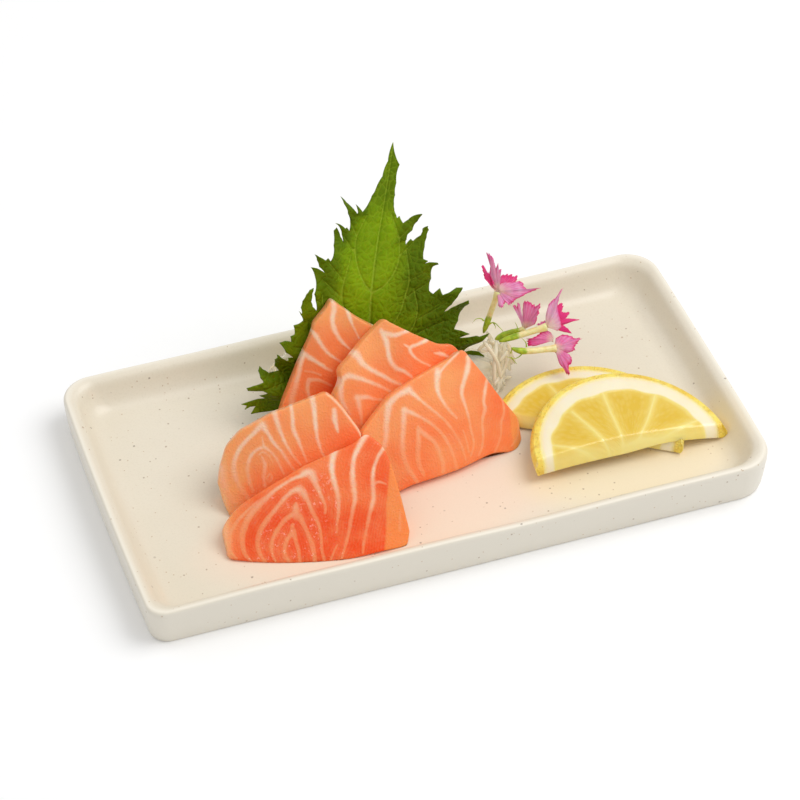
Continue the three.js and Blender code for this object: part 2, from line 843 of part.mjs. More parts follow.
const flowerRooms = [];
for (const spec of flowers) {
  let body = flowerSolid(spec);
  for (const taken of [leafRoom, ...lemonRooms, ...flowerRooms]) {
    body = body.subtract(taken);
  }
  flowerRooms.push(flowerSolid(spec, gap));
  addMesh(spec.name, toGeometry(body), pink);
}

const neighbours = wasm.Manifold.union(
  [trimFloor, leafRoom, ...takenBySlices, ...lemonRooms, ...flowerRooms],
);
addMesh("daikon_shreds", toGeometry(daikonSolid(neighbours)), white);

export default plate;
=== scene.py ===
# Sashimi plate: the looks of a long stoneware tray with salmon, daikon, a shiso
# leaf, lemon and dianthus. Metres, +Z up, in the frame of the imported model.
import json
import math

import bpy
import numpy as np
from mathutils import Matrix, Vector
from mathutils.bvhtree import BVHTree
from mathutils.geometry import delaunay_2d_cdt

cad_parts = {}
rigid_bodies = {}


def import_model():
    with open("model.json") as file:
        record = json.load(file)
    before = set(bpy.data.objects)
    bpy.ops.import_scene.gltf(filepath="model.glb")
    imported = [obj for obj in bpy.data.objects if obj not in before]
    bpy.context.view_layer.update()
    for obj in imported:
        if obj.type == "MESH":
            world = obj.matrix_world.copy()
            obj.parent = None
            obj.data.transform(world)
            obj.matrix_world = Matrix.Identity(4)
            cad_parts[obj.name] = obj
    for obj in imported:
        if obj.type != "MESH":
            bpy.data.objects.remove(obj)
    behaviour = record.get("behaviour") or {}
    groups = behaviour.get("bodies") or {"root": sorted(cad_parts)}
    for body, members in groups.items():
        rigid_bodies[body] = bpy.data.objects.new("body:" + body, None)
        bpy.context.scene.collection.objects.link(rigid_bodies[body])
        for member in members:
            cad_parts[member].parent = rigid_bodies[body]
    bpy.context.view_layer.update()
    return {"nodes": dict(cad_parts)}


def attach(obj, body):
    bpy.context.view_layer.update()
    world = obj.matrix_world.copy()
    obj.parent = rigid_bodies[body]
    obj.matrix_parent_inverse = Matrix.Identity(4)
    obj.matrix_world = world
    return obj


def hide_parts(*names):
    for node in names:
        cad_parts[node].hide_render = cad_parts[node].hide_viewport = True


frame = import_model()
MM = 0.001


# ---------------------------------------------------------------- plate
# The tray is pressed stoneware, glazed ivory all over and fired. Its wall leans
# out to a soft rolled rim, and a low foot runs round under its edge.

TRAY_LENGTH = 200.0
TRAY_WIDTH = 107.5
TRAY_HEIGHT = 13.5
TRAY_FLOOR = 4.5
SIDE_BOW = 0.9
FLOOR_CORNER = 6.0
FLOOR_INSET = 11.0
RIM_SWELL = 0.25
LONG_WAVE = (21.0, 17.0)
SHORT_WAVE = (9.5, 13.0)
RIM_POINTS = 320
PROFILE_STEPS = 3
OUTER_STEPS = 4
CREST_STEPS = 3
MERGE_REACH = 0.02

# Shares of a quarter's points along the short side and round the corner.
END_SHARE = 0.25
CORNER_SHARE = 0.35

# Corner radii: back right, back left, front left and front right.
RIM_CORNERS = (10.0, 9.0, 5.5, 10.5)

# Inset from the widest line and height, from the underside round to the floor.
TRAY_PROFILE = [(15, 0.9), (12.5, 0.9), (11.5, 0), (2.2, 0), (1.1, 0.8), (0.7, 2.8), (0.3, 7.2),
                (0, 11.8), (0.3, 13.1), (1, TRAY_HEIGHT), (2.4, 13.2), (3.9, 12), (5.4, 9),
                (7.5, 6), (10.6, TRAY_FLOOR), (15, TRAY_FLOOR)]


def deselect_all():
    for other in bpy.context.selected_objects:
        other.select_set(False)


def make_active(piece):
    deselect_all()
    bpy.context.view_layer.objects.active = piece
    piece.select_set(True)


def start_piece(name):
    """Names the primitive that was just added."""
    piece = bpy.context.active_object
    piece.name = name
    piece.data.name = name
    return piece


def points_of(piece):
    flat = np.empty(3 * len(piece.data.vertices))
    piece.data.vertices.foreach_get("co", flat)
    return flat.reshape(-1, 3)


def move_points(piece, points):
    piece.data.vertices.foreach_set("co", np.ascontiguousarray(points, dtype=float).ravel())
    piece.data.update()


def add_attribute(piece, name, values):
    attribute = piece.data.attributes.new(name, "FLOAT", "POINT")
    attribute.data.foreach_set("value", np.ascontiguousarray(values, dtype=np.float32))


def in_edit_mode(piece, *steps):
    """Runs edit-mode operators on the whole of a piece, one after another."""
    make_active(piece)
    bpy.ops.object.mode_set(mode="EDIT")
    bpy.ops.mesh.select_all(action="SELECT")
    for step in steps:
        step()
    bpy.ops.object.mode_set(mode="OBJECT")


def face_out():
    bpy.ops.mesh.select_all(action="SELECT")
    bpy.ops.mesh.normals_make_consistent(inside=False)


def merge_and_face_out():
    bpy.ops.mesh.remove_doubles(threshold=MERGE_REACH * MM)
    face_out()


def apply_modifier(piece, kind, **settings):
    make_active(piece)
    modifier = piece.modifiers.new(kind.title(), kind)
    for key, value in settings.items():
        setattr(modifier, key, value)
    bpy.ops.object.modifier_apply(modifier=modifier.name)


def shade_smooth(piece):
    make_active(piece)
    bpy.ops.object.shade_smooth()


def join_pieces(name, parts):
    deselect_all()
    for part in parts:
        part.select_set(True)
    bpy.context.view_layer.objects.active = parts[0]
    bpy.ops.object.join()
    return start_piece(name)


class Value:
    """A shader socket that takes part in sums: each operator adds a Math node."""

    def __init__(self, finish, socket):
        self.finish = finish
        self.socket = socket

    def math(self, operation, *values):
        inputs = dict(enumerate(values))
        return self.finish.node("ShaderNodeMath", {"operation": operation}, inputs)

    def __add__(self, other):
        return self.math("ADD", self, other)

    def __radd__(self, other):
        return self.math("ADD", other, self)

    def __sub__(self, other):
        return self.math("SUBTRACT", self, other)

    def __rsub__(self, other):
        return self.math("SUBTRACT", other, self)

    def __mul__(self, other):
        return self.math("MULTIPLY", self, other)

    def __rmul__(self, other):
        return self.math("MULTIPLY", other, self)

    def __truediv__(self, other):
        return self.math("DIVIDE", self, other)

    def __pow__(self, other):
        return self.math("POWER", self, other)

    def sine(self):
        return self.math("SINE", self)

    def smooth(self, low, high):
        """0 below low, 1 above high and smooth between; low may be the greater."""
        settings = {"interpolation_type": "SMOOTHSTEP"}
        return self.finish.node("ShaderNodeMapRange", settings, {0: self, 1: low, 2: high})


class Finish:
    """A material made of nodes, ending in one Principled shader."""

    def __init__(self, name, **constants):
        self.material = bpy.data.materials.new(name)
        self.material.use_nodes = True
        self.tree = self.material.node_tree
        self.shader = self.tree.nodes["Principled BSDF"]
        for key, value in constants.items():
            self.shader.inputs[key.replace("_", " ")].default_value = value

    def plug(self, target, value):
        if isinstance(value, Value):
            self.tree.links.new(value.socket, target)
        else:
            target.default_value = value

    def node(self, kind, settings, inputs, output=0):
        made = self.tree.nodes.new(kind)
        for key, value in settings.items():
            setattr(made, key, value)
        for key, value in inputs.items():
            self.plug(made.inputs[key], value)
        return Value(self, made.outputs[output])

    def object_place(self):
        return self.node("ShaderNodeTexCoord", {}, {}, "Object")

    def attribute(self, name):
        return self.node("ShaderNodeAttribute", {"attribute_name": name}, {}, "Fac")

    def noise(self, scale, detail, place):
        inputs = {"Vector": place, "Scale": scale, "Detail": detail}
        return self.node("ShaderNodeTexNoise", {}, inputs, "Fac")

    def noise_colour(self, scale, place):
        """Three noises at once, a little to either side of nought."""
        inputs = {"Vector": place, "Scale": scale, "Detail": 1.0}
        noise = self.node("ShaderNodeTexNoise", {}, inputs, "Color")
        return self.node("ShaderNodeVectorMath", {"operation": "SUBTRACT"}, {0: noise, 1: (0.5, 0.5, 0.5)})

    def specks(self, scale, place):
        """How far each place lies from the nearest of many scattered spots."""
        inputs = {"Vector": place, "Scale": scale}
        return self.node("ShaderNodeTexVoronoi", {}, inputs, "Distance")

    def blend(self, share, first, second):
        """The first colour at share 0, the second at share 1."""
        settings = {"data_type": "RGBA"}
        return self.node("ShaderNodeMix", settings, {0: share, 6: first, 7: second}, 2)

    def bump(self, height, depth, strength=1.0):
        inputs = {"Height": height, "Distance": depth, "Strength": strength}
        return self.node("ShaderNodeBump", {}, inputs)

    def set(self, **looks):
        for key, value in looks.items():
            self.plug(self.shader.inputs[key.replace("_", " ")], value)

    def put_on(self, piece):
        piece.data.materials.clear()
        piece.data.materials.append(self.material)


def paint(red, green, blue):
    """A colour given as on a screen, 0 to 255, in the shader's linear scale."""
    shares = [part / 255 for part in (red, green, blue)]
    return tuple(c / 12.92 if c < 0.04045 else ((c + 0.055) / 1.055) ** 2.4 for c in shares) + (1,)


def corner_radius(rim_corner, inset):
    """The corner's radius changes evenly from the rim to the floor's edge."""
    sliding = rim_corner + (FLOOR_CORNER - rim_corner) * inset / FLOOR_INSET
    return max(sliding, min(rim_corner, FLOOR_CORNER))


def tray_points(around, inset, height):
    """Points of one level line of the tray, from the middle of its right end."""
    half_x = TRAY_LENGTH / 2 - inset
    half_y = TRAY_WIDTH / 2 - inset
    points = np.empty((len(around), 3))
    for i, share in enumerate(4 * around):
        quarter, part = int(share) % 4, share % 1
        part = part if quarter % 2 == 0 else 1 - part
        corner = corner_radius(RIM_CORNERS[quarter], inset)
        if part < END_SHARE:
            x, y = half_x, (half_y - corner) * part / END_SHARE
        elif part < END_SHARE + CORNER_SHARE:
            turn = (part - END_SHARE) / CORNER_SHARE * math.pi / 2
            x = half_x - corner + corner * math.cos(turn)
            y = half_y - corner + corner * math.sin(turn)
        else:
            x, y = (half_x - corner) * (1 - part) / (1 - END_SHARE - CORNER_SHARE), half_y
        points[i] = (x if quarter in (0, 3) else -x, y if quarter < 2 else -y, height)
    points[:, 0] += SIDE_BOW * (1 - (points[:, 1] / half_y) ** 2) * points[:, 0] / half_x
    return points


def between(before, here, there, after, t):
    """A place at share t from here to there, on a smooth line that goes on past both."""
    start_slope = (there - before) / 2
    end_slope = (after - here) / 2
    return ((2 * t**3 - 3 * t**2 + 1) * here + (t**3 - 2 * t**2 + t) * start_slope
            + (3 * t**2 - 2 * t**3) * there + (t**3 - t**2) * end_slope)


def rounded_profile(profile, steps):
    """The profile as a smooth line through its points, with steps between each two."""
    points = np.array(profile, dtype=float)
    padded = np.vstack([points[0], points, points[-1]])
    line = []
    for i in range(len(points) - 1):
        line += [between(*padded[i:i + 4], step / steps) for step in range(steps)]
    line.append(points[-1])
    return np.array(line)


deselect_all()
profile_line = rounded_profile(TRAY_PROFILE, PROFILE_STEPS)
bpy.ops.mesh.primitive_grid_add(x_subdivisions=RIM_POINTS, y_subdivisions=len(profile_line) - 1, size=1)
plate = start_piece("tray")
grid = points_of(plate)
around = np.round((grid[:, 0] + 0.5) * RIM_POINTS) % RIM_POINTS / RIM_POINTS
station = np.round((grid[:, 1] + 0.5) * (len(profile_line) - 1)).astype(int)
shaped = np.empty_like(grid)
for index, (inset, height) in enumerate(profile_line):
    here = station == index
    shaped[here] = tray_points(around[here], inset, height)

# The rim rises and falls a little, more the nearer it is to its crest.
rise = np.clip((shaped[:, 2] - TRAY_FLOOR) / (TRAY_HEIGHT - TRAY_FLOOR), 0, 1)
swell = rise * rise * (3 - 2 * rise)
wave = (np.sin(shaped[:, 0] / LONG_WAVE[0] + 0.6) * np.cos(shaped[:, 1] / LONG_WAVE[1])
        + 0.6 * np.sin(shaped[:, 0] / SHORT_WAVE[0] + shaped[:, 1] / SHORT_WAVE[1]))
shaped[:, 2] += swell * RIM_SWELL * wave
move_points(plate, shaped * MM)
crest = int(np.argmax(profile_line[:, 1]))
add_attribute(plate, "outer", np.clip((crest - station) / OUTER_STEPS, 0, 1))
add_attribute(plate, "crest", np.clip(1 - np.abs(station - crest) / CREST_STEPS, 0, 1))


def close_underside_and_floor():
    bpy.ops.mesh.remove_doubles(threshold=MERGE_REACH * MM / 2)
    bpy.ops.mesh.select_all(action="DESELECT")
    bpy.ops.mesh.select_non_manifold()
    bpy.ops.mesh.fill_holes(sides=0)
    face_out()


in_edit_mode(plate, close_underside_and_floor)
shade_smooth(plate)

# Painted light bounced warm from the food onto the glaze: middle, reach across and deep, colour.
PAINTED_BOUNCE_GLOWS = [((-18, -29), (60, 22), paint(252, 220, 194)), ((64, -28), (42, 22), paint(250, 230, 188))]

# Iron specks: how closely they lie, their size, the share left out and their colour.
IRON_SPECKS = [(520, 0.15, 0.72, paint(186, 152, 110)), (300, 0.12, 0.74, paint(150, 118, 84)),
               (170, 0.085, 0.66, paint(122, 98, 78)), (95, 0.05, 0.55, paint(170, 136, 98))]

glaze = Finish("ivory_glaze", Roughness=0.42, Coat_Weight=0.3, Coat_Roughness=0.22)
place = glaze.object_place()
cloud = glaze.noise(14, 3, place)
grains = glaze.noise(1600, 2, place)
ivory = glaze.blend(cloud.smooth(0.3, 0.7), paint(229, 219, 198), paint(235, 226, 207))
ivory = glaze.blend(grains.smooth(0.45, 0.8) * 0.25, ivory, paint(214, 203, 180))

# Painted light: a warm glow bounced from the fish and a yellow glow from the lemon onto the wet glaze.
sideways = glaze.node("ShaderNodeSeparateXYZ", {}, {0: place}, 0)
backward = glaze.node("ShaderNodeSeparateXYZ", {}, {0: place}, 1)
for (x, y), (wide, deep), shade in PAINTED_BOUNCE_GLOWS:
    away = ((sideways - x * MM) / (wide * MM)) ** 2 + ((backward - y * MM) / (deep * MM)) ** 2
    ivory = glaze.blend((1 - (away + (cloud - 0.5) * 0.5).smooth(0.4, 1.3)) * 0.6, ivory, shade)

# A painted highlight runs pale along the rim's crest, and painted shade greys the outer wall.
ivory = glaze.blend(glaze.attribute("outer") * 0.8, ivory, paint(226, 220, 207))
ivory = glaze.blend(glaze.attribute("crest") * 0.75, ivory, paint(250, 243, 228))
for scale, size, gate, shade in IRON_SPECKS:
    near = glaze.specks(scale, place)
    pick = glaze.node("ShaderNodeTexVoronoi", {}, {"Vector": place, "Scale": scale}, "Color")
    chance = glaze.node("ShaderNodeSeparateColor", {}, {0: pick}, 0)
    ragged = near + (glaze.noise(scale * 9, 2, place) - 0.5) * (size * 0.9)
    dot = (1 - ragged.smooth(size * 0.55, size)) * chance.smooth(gate, gate + 0.02)
    ivory = glaze.blend(dot * 0.6, ivory, shade)
dimples = glaze.noise(260, 3, place)
glaze.set(Base_Color=ivory, Roughness=0.36 + cloud * 0.1, Normal=glaze.bump(dimples, 0.00012, 0.6))
glaze.put_on(plate)
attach(plate, "root")
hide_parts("plate")


# ---------------------------------------------------------------- salmon
# Five slices cut on the slant from one fillet of raw salmon. Lines of white fat
# fold through the orange flesh and show on both faces and along the cut edges.

FACE_OFFSET = 2.5
SLICE_COLUMNS = 24
SLICE_ROWS = 13
SLICE_EDGE = 0.45
FLOOR_CLEAR = 0.12
TOUCH_REACH = 3.0
TOUCH_CLEAR = 0.1
FAT_SINK = 0.07
CORNER_COSINE = 0.93
CORNER_PUSH = 0.35
FLARE_RISE = 1.6
SLICE_MIDDLE = 0.4
PAST_END = 9.0
FIBRE_PITCH = 7.5
FIBRE_WANDER = 16.0
FAR = 1e9

# Each slice stands on its long lower edge: foot is its plane's corner, turn and lean
# set that plane, and lower, upper and fat lie in it, in mm along and up, fat with its
# width. bend and ripple bow the face, flare is the bend's share at the left foot, and
# heel turns the right end back. redness deepens the colour: at the foot, up and along.
SLICES = [
    dict(name="salmon_slice_1", redness=(0.1, 0, 0.4), flare=0.4,
         foot=(-69.5, -28, 6), turn=-14, lean=49, span=57, rise=40, thick=7, bend=(-4, -1.5),
         ripple=(0.5, 24, 4), heel=(48, 4, 30, 2.4),
         lower=[(-0.8, 5.5), (0.4, -1), (1.9, -2.7), (19, -5), (35, -5), (47.8, -2.8), (55, -1.9)],
         upper=[(-0.8, 5.5), (-0.3, 8), (4.1, 13.3), (12.5, 18), (25, 24.4), (40.8, 30.4), (44.7, 33),
                (49.1, 29.3), (51.6, 23.7), (53.7, 14.7), (56, 3)],
         fat=[
             [(2.9, -2.3, 0.5), (1.2, 0.2, 0.7), (1.1, 3.3, 0.9), (1.9, 5.9, 0.8), (3.9, 8.8, 0.8),
              (7.1, 11.9, 0.6), (10.6, 14.6, 0.4)],
             [(7.6, -3.6, 0.4), (5.7, -1.3, 0.8), (5.1, 2, 1.1), (5.5, 5.6, 1.4), (7.2, 9.4, 1.6),
              (10.1, 12.9, 1.9), (13.3, 15.5, 1.3), (16.5, 17.9, 0.9), (20.6, 20.2, 0.8), (24, 21.3, 1)],
             [(24, 21.3, 1.2), (26.6, 22.2, 2.8), (28.3, 18.6, 1.4), (29.6, 14.9, 0.9), (30.7, 11.7, 0.6),
              (30.5, 9.6, 0.3)],
             [(11.8, -4.2, 0.4), (10.2, -1.4, 0.8), (9.6, 1.7, 1), (10.6, 5.3, 1.1), (12.6, 8.4, 1.1),
              (15.5, 11.6, 1), (18.7, 15, 1.1), (21, 16.8, 1.2)],
             [(21, 16.8, 1.2), (23.4, 17.2, 2.4), (25.3, 14.2, 1.1), (26.6, 10.5, 0.8), (28.2, 6.8, 0.7),
              (28.8, 2.5, 0.5), (28.8, -1.4, 0.5), (29.5, -5.4, 0.4)],
             [(14.8, -4.1, 0.4), (13.8, -1.3, 0.6), (14, 2, 0.8), (15.4, 4.9, 0.9), (18, 8.1, 1),
              (20.5, 9.7, 1.2)],
             [(21.9, 13.2, 0.5), (21.8, 11.1, 1.8), (22, 9.3, 2.2)],
             [(20.5, 9.7, 1.2), (22.3, 9.4, 1.8), (23.9, 6.4, 0.9), (25.2, 3, 0.9), (26.2, -1, 1),
              (26.5, -5.2, 0.7)],
             [(20.5, 6.7, 0.6), (19.9, 4.3, 0.9), (18.4, 2, 0.9), (17.6, -0.4, 0.9), (17.8, -2.5, 0.9),
              (18.7, -4.1, 0.7)],
             [(20.5, 4.9, 1.2), (21.2, 1.8, 0.8), (21.8, -1.3, 0.7), (22, -4.6, 0.6)],
             [(34.7, 28.5, 2.2), (33.7, 25.5, 1.9), (33.4, 21.9, 1.5), (34, 18.2, 1.4), (34.7, 14.5, 1.1),
              (34.6, 10.3, 0.8), (34, 6.7, 0.5), (33.7, 3.4, 0.2)],
             [(44.4, 32.9, 2), (42.1, 29.3, 1.6), (40.3, 25.8, 1.3), (39.5, 20.9, 1.4), (39.6, 17, 1.4),
              (39.8, 13.6, 1.2), (38.8, 9.7, 0.8), (37.8, 5.6, 0.7), (36.5, 0.8, 0.6), (34.4, -4.8, 0.4)],
             [(50, 28.9, 1), (47.6, 25.7, 0.9), (46, 21.8, 0.9), (45.5, 17.6, 1.1), (45.4, 13.3, 1.1),
              (44, 8.8, 0.9), (42.8, 4.4, 0.6), (41.6, -0.1, 0.5), (41.1, -3.1, 0.3)],
             [(45.5, 17.6, 0.8), (47.4, 18.1, 0.4), (49.5, 17.3, 0.2)],
             [(33.5, -0.2, 0.3), (32.1, -2.8, 0.4), (31, -5.2, 0.3)],
             [(53.2, 8.6, 0.4), (52.8, 3.2, 0.4)],
         ]),
    dict(name="salmon_slice_2", redness=(-0.35, 0, 0.75),
         foot=(-65, -12, 6), turn=-14, lean=38, span=50, rise=38, thick=7, bend=(-3, -7),
         ripple=(0.6, 26, 10), heel=None,
         lower=[(-1.7, 9), (0.4, 0.9), (4.4, -4), (20, -5), (42, -4)],
         upper=[(-1.7, 9), (-0.8, 14.1), (1.5, 20.1), (5.7, 24.6), (15.9, 29.8), (28, 33.7), (32.8, 35),
                (36.6, 32.1), (42.8, 22.2), (43.5, 14)],
         fat=[
             [(-0.4, 13.7, 1.6), (-0.3, 10, 2), (1, 6.3, 1.6), (2.9, 2.9, 0.9)],
             [(7.6, 3.9, 0.7), (5, 7.7, 1), (3.6, 11.7, 1.7), (3.8, 15.4, 1.5), (5.4, 19, 1.3),
              (8, 22, 1.2), (10.6, 24.3, 1.4), (12.8, 26.4, 2.4)],
             [(12.8, 26.4, 2.4), (14.5, 23.6, 1.1), (16.1, 20.7, 1), (18.1, 18.2, 0.7), (19.5, 15.6, 0.5),
              (21.4, 12.4, 0.3)],
             [(12.6, 22.7, 0.3), (13, 19.6, 0.8)],
             [(8.9, 6.3, 0.6), (7.9, 10, 0.8), (7.7, 13.7, 1), (8.9, 17, 1.1), (11.2, 19.1, 1),
              (13.3, 19.5, 0.8)],
             [(13.3, 19.5, 0.9), (15.3, 17.7, 0.6), (16.7, 15.5, 0.6), (17.8, 12.9, 0.5),
              (18.6, 11.1, 0.4)],
             [(11.4, 17.3, 0.3), (12.6, 18.1, 0.4), (14.4, 16.8, 0.4), (15.5, 14.9, 0.2)],
             [(12.2, 16.6, 0.5), (13, 14.1, 1), (12.5, 11.1, 0.9), (12.6, 7.7, 0.8)],
             [(13.4, 10.1, 0.3), (14.4, 11.3, 0.3), (14.9, 10, 0.3), (13.9, 8.8, 0.3), (13.4, 10.1, 0.3)],
             [(16.7, 30.2, 2), (17.4, 27.1, 1.5), (18.4, 23.7, 1.1), (19.7, 20.2, 0.8), (21.4, 17, 0.5),
              (23.9, 13.5, 0.3)],
             [(19.2, 16.9, 0.3), (20.6, 14, 0.4), (22, 11.8, 0.3)],
             [(21.9, 32, 0.9), (22.2, 28, 1.1), (22.3, 24.6, 1.3), (23.5, 21.2, 1), (24.5, 18.1, 0.6),
              (25.8, 14.3, 0.3)],
             [(28.5, 34, 1.8), (28.9, 30, 1.6), (29.1, 25.7, 1.2), (29.4, 21.4, 0.9), (30.3, 17.6, 0.6),
              (31.7, 14.5, 0.3)],
             [(35, 29.6, 1.4), (35.1, 26.5, 1.6), (35.8, 22.8, 0.6)],
             [(33.1, 34.6, 0.6), (36, 31.6, 0.6), (38.9, 27.7, 0.7), (41.5, 23.8, 0.7), (43.2, 20.9, 0.7)],
         ]),
    dict(name="salmon_slice_3", redness=(0.02, 0.05, 0.1),
         foot=(-42, 11.5, 8), turn=-8, lean=31, span=45, rise=44, thick=6, bend=(-2, -2),
         ripple=(0.9, 15, 14), heel=None,
         lower=[(2.5, 8), (6, 2), (20, 0), (36, 2), (40, 12)],
         upper=[(2.5, 8), (3.9, 11.7), (9.8, 22.8), (15.6, 33.1), (16.2, 35.8), (22.6, 42.2), (29.5, 36.1),
                (38, 30), (40, 20)],
         fat=[
             [(22.9, 42.2, 1.6), (22.9, 39.4, 1.9), (22.1, 36.7, 1.7), (22.2, 33.8, 1.6), (23, 31.5, 1.3),
              (24.1, 29.1, 1), (26.6, 26.2, 0.4)],
             [(27, 38.8, 1.3), (27.5, 36.3, 1.2), (28.3, 33.3, 0.6), (29.7, 29.4, 0.4)],
             [(31.3, 35.9, 0.3), (33.3, 34.4, 0.8), (35.4, 32.1, 1.2)],
             [(15.6, 33.2, 1), (16.6, 31.2, 1.5), (17.9, 28.5, 1), (19.8, 25.7, 0.8), (23.4, 22.5, 0.4)],
             [(11.9, 26.8, 1.6), (13.6, 25.4, 1.5), (15.8, 23.6, 1.1), (18.4, 21.4, 0.8),
              (20.2, 20.2, 0.4)],
             [(12.2, 26.5, 1.4), (10.9, 23.4, 1.1), (9.8, 20.1, 1.3), (8.3, 16.4, 1.7), (7, 13.1, 1.9),
              (6.6, 9.3, 1.6)],
             [(12.8, 18.2, 1.1), (12.1, 15.7, 1), (12.3, 12.8, 0.7)],
             [(12.8, 18.2, 1.1), (15.6, 17.9, 0.7), (17.9, 16.7, 0.5), (19.7, 15.5, 0.3)],
             [(11.9, 21.1, 0.3), (14, 20.6, 0.4), (16.6, 19.4, 0.3)],
         ]),
    dict(name="salmon_slice_4", redness=(-0.35, 0.25, 0.35),
         foot=(-26, -5.9, 9), turn=4, lean=37, span=50, rise=40, thick=5, bend=(-2, -5),
         ripple=(0.9, 19, 5), heel=None,
         lower=[(3.2, 14), (6, 2), (22, 0), (42, 0), (46, 8)],
         upper=[(3.2, 14), (3.2, 20.6), (6.2, 24.6), (6.9, 28.6), (15.8, 34.9), (24.2, 39.8), (30.9, 34.2),
                (40, 27.6), (44.9, 25.9), (46.9, 23.2)],
         fat=[
             [(10.9, 33.6, 1.6), (12.8, 31.8, 2.8), (14, 28.5, 1.9), (16.4, 25.8, 1.3), (19.1, 23.3, 1.3),
              (21.7, 20.8, 1), (24.7, 18.5, 0.6)],
             [(6.5, 14.2, 0.7), (5.6, 16.7, 1), (5.2, 19.7, 1.5), (5.8, 22.8, 1.6), (7.1, 25.3, 1.6),
              (9, 25.8, 1.9)],
             [(9, 25.8, 1.9), (11.6, 24.4, 1.6), (14.2, 22.7, 1), (17.4, 20.4, 0.9), (20.6, 17.7, 0.5)],
             [(9.8, 18.5, 2), (12.6, 18, 1.2), (15.3, 16.6, 0.6), (18.1, 15.5, 0.4)],
             [(10.1, 18.4, 1.9), (9.8, 15.3, 1.3), (9.7, 12.7, 0.8), (9.2, 10.3, 0.4)],
             [(22.5, 36.8, 1.2), (23.2, 33.1, 1.8), (23, 29.9, 1.3), (23, 27, 1.3), (24.2, 24.2, 1.3),
              (26.3, 22.6, 1), (28.4, 20.1, 0.6)],
             [(22.9, 35.7, 1.8), (25.9, 34.3, 1.5), (29.3, 34.3, 1.1), (31, 34.2, 0.9)],
             [(36.6, 29.7, 1.2), (33.1, 29.4, 0.9), (30, 29, 1.1), (30.4, 26.6, 0.8), (32.3, 24.2, 0.6),
              (35.4, 21.7, 0.4)],
             [(28.3, 30.7, 0.3), (30, 29, 0.9)],
             [(37.9, 25.1, 0.4), (40.2, 24.2, 1.1), (42.6, 22.5, 0.4)],
         ]),
    dict(name="salmon_slice_5", redness=(-0.6, 0.45, 0.45),
         foot=(-20, -20, 6), turn=9, lean=43, span=53, rise=38, thick=5, bend=(-2, -3),
         ripple=(0.5, 28, 12), heel=(50, 4, 20, 1.2),
         lower=[(2.5, 12), (5, -0.5), (13.6, -0.9), (28, -1.4), (41.4, -0.5), (47.1, -2), (52.1, -2)],
         upper=[(2.5, 12), (2.7, 19.1), (7.2, 22.5), (15.6, 27.9), (25.1, 30.1), (41.3, 32.6), (43, 33.4),
                (46.7, 25.5), (50.3, 15.9), (54.7, 6.8), (53.7, 0.4)],
         fat=[
             [(2.2, 7.8, 0.7), (4.5, 9.6, 0.9), (7.5, 12.4, 1.3), (9.6, 15.6, 1.6), (11.1, 19.6, 1.8),
              (13, 23.5, 2.3), (14.6, 25.5, 2), (17.7, 26.7, 1.7), (21.3, 27.1, 2.6)],
             [(21.3, 27.1, 2.4), (23.1, 24.3, 1), (25.4, 20.7, 0.7), (27.7, 17.3, 0.6), (29.9, 13.5, 0.5),
              (31.4, 9, 0.4), (32, 4.9, 0.4), (31.9, 0.7, 0.3)],
             [(14.6, -0.8, 0.7), (13.5, 2.8, 1.1), (12.8, 6.7, 1.1), (13.5, 11, 1.3), (15, 15, 1.4),
              (16.7, 19, 1.6), (17.6, 21.6, 1.9)],
             [(17.7, 21.9, 1.9), (20.1, 19.9, 1), (23, 17.1, 0.8), (25.4, 14, 0.7), (27.3, 10.4, 0.7),
              (28.2, 6.2, 0.7), (28.3, 2.6, 0.6), (28.1, -0.9, 0.6)],
             [(17.2, 0.9, 0.7), (16.8, 4.6, 1.1), (17.7, 8.2, 1.2), (19.1, 11.6, 1.2), (20.3, 15.5, 0.7)],
             [(20.3, 14.5, 1.5), (22.4, 11.5, 1.1), (23.9, 9, 1), (24.3, 5.3, 0.9), (24.2, 2, 1),
              (23.4, -0.3, 0.9)],
             [(32.7, 29.6, 2.4), (31.2, 26.5, 2), (30.4, 23.5, 1.4), (30.9, 20, 0.9), (32.1, 16.7, 0.7),
              (33.6, 13.9, 0.4)],
             [(41.4, 32.9, 0.5), (38, 31.4, 0.7), (35.1, 30.1, 0.7), (33.2, 29.1, 1)],
             [(43.8, 30.5, 1.3), (42.6, 27.3, 1.9), (39.9, 23.9, 1.4), (37.9, 20.9, 1.3), (37.6, 17.8, 1),
              (37.5, 13.5, 0.6), (36.8, 8.8, 0.5), (36.3, 4.7, 0.4), (33.9, 1.3, 0.3)],
             [(47.6, 21.7, 0.8), (45.7, 18.7, 1), (44.1, 15.6, 0.9), (43.7, 13.4, 1), (41.6, 10.5, 0.7),
              (40.3, 6.4, 0.5), (38.9, 3.2, 0.5), (36.6, 0.7, 0.4)],
             [(50.7, 14.4, 0.4), (50, 10.7, 0.6), (47.8, 7.8, 0.5), (46.3, 4.3, 0.4), (44, 1.5, 0.4),
              (42.2, -0.2, 0.3)],
             [(54.3, 6.6, 0.5), (53.2, 3.4, 0.5), (51.5, 1.3, 0.5), (48.7, -0.4, 0.4)],
             [(34.2, 9.7, 0.2), (34.2, 6.8, 0.3), (33.7, 2.7, 0.2)],
         ]),
]


def smooth_line(points, shares):
    """Places along a smooth line through the points, at even shares of its length."""
    points = np.array(points, dtype=float)
    last = len(points) - 1
    fine = np.linspace(0, last, 40 * last + 1)
    start = np.minimum(fine.astype(int), last - 1)
    t = (fine - start)[:, None]
    before = points[np.where(start == 0, 0, start - 1)]
    after = points[np.minimum(start + 2, last)]
    line = between(before, points[start], points[start + 1], after, t)
    run = np.concatenate([[0], np.cumsum(np.linalg.norm(np.diff(line, axis=0), axis=1))])
    run /= run[-1]
    return np.stack([np.interp(shares, run, line[:, k]) for k in range(line.shape[1])], axis=1)


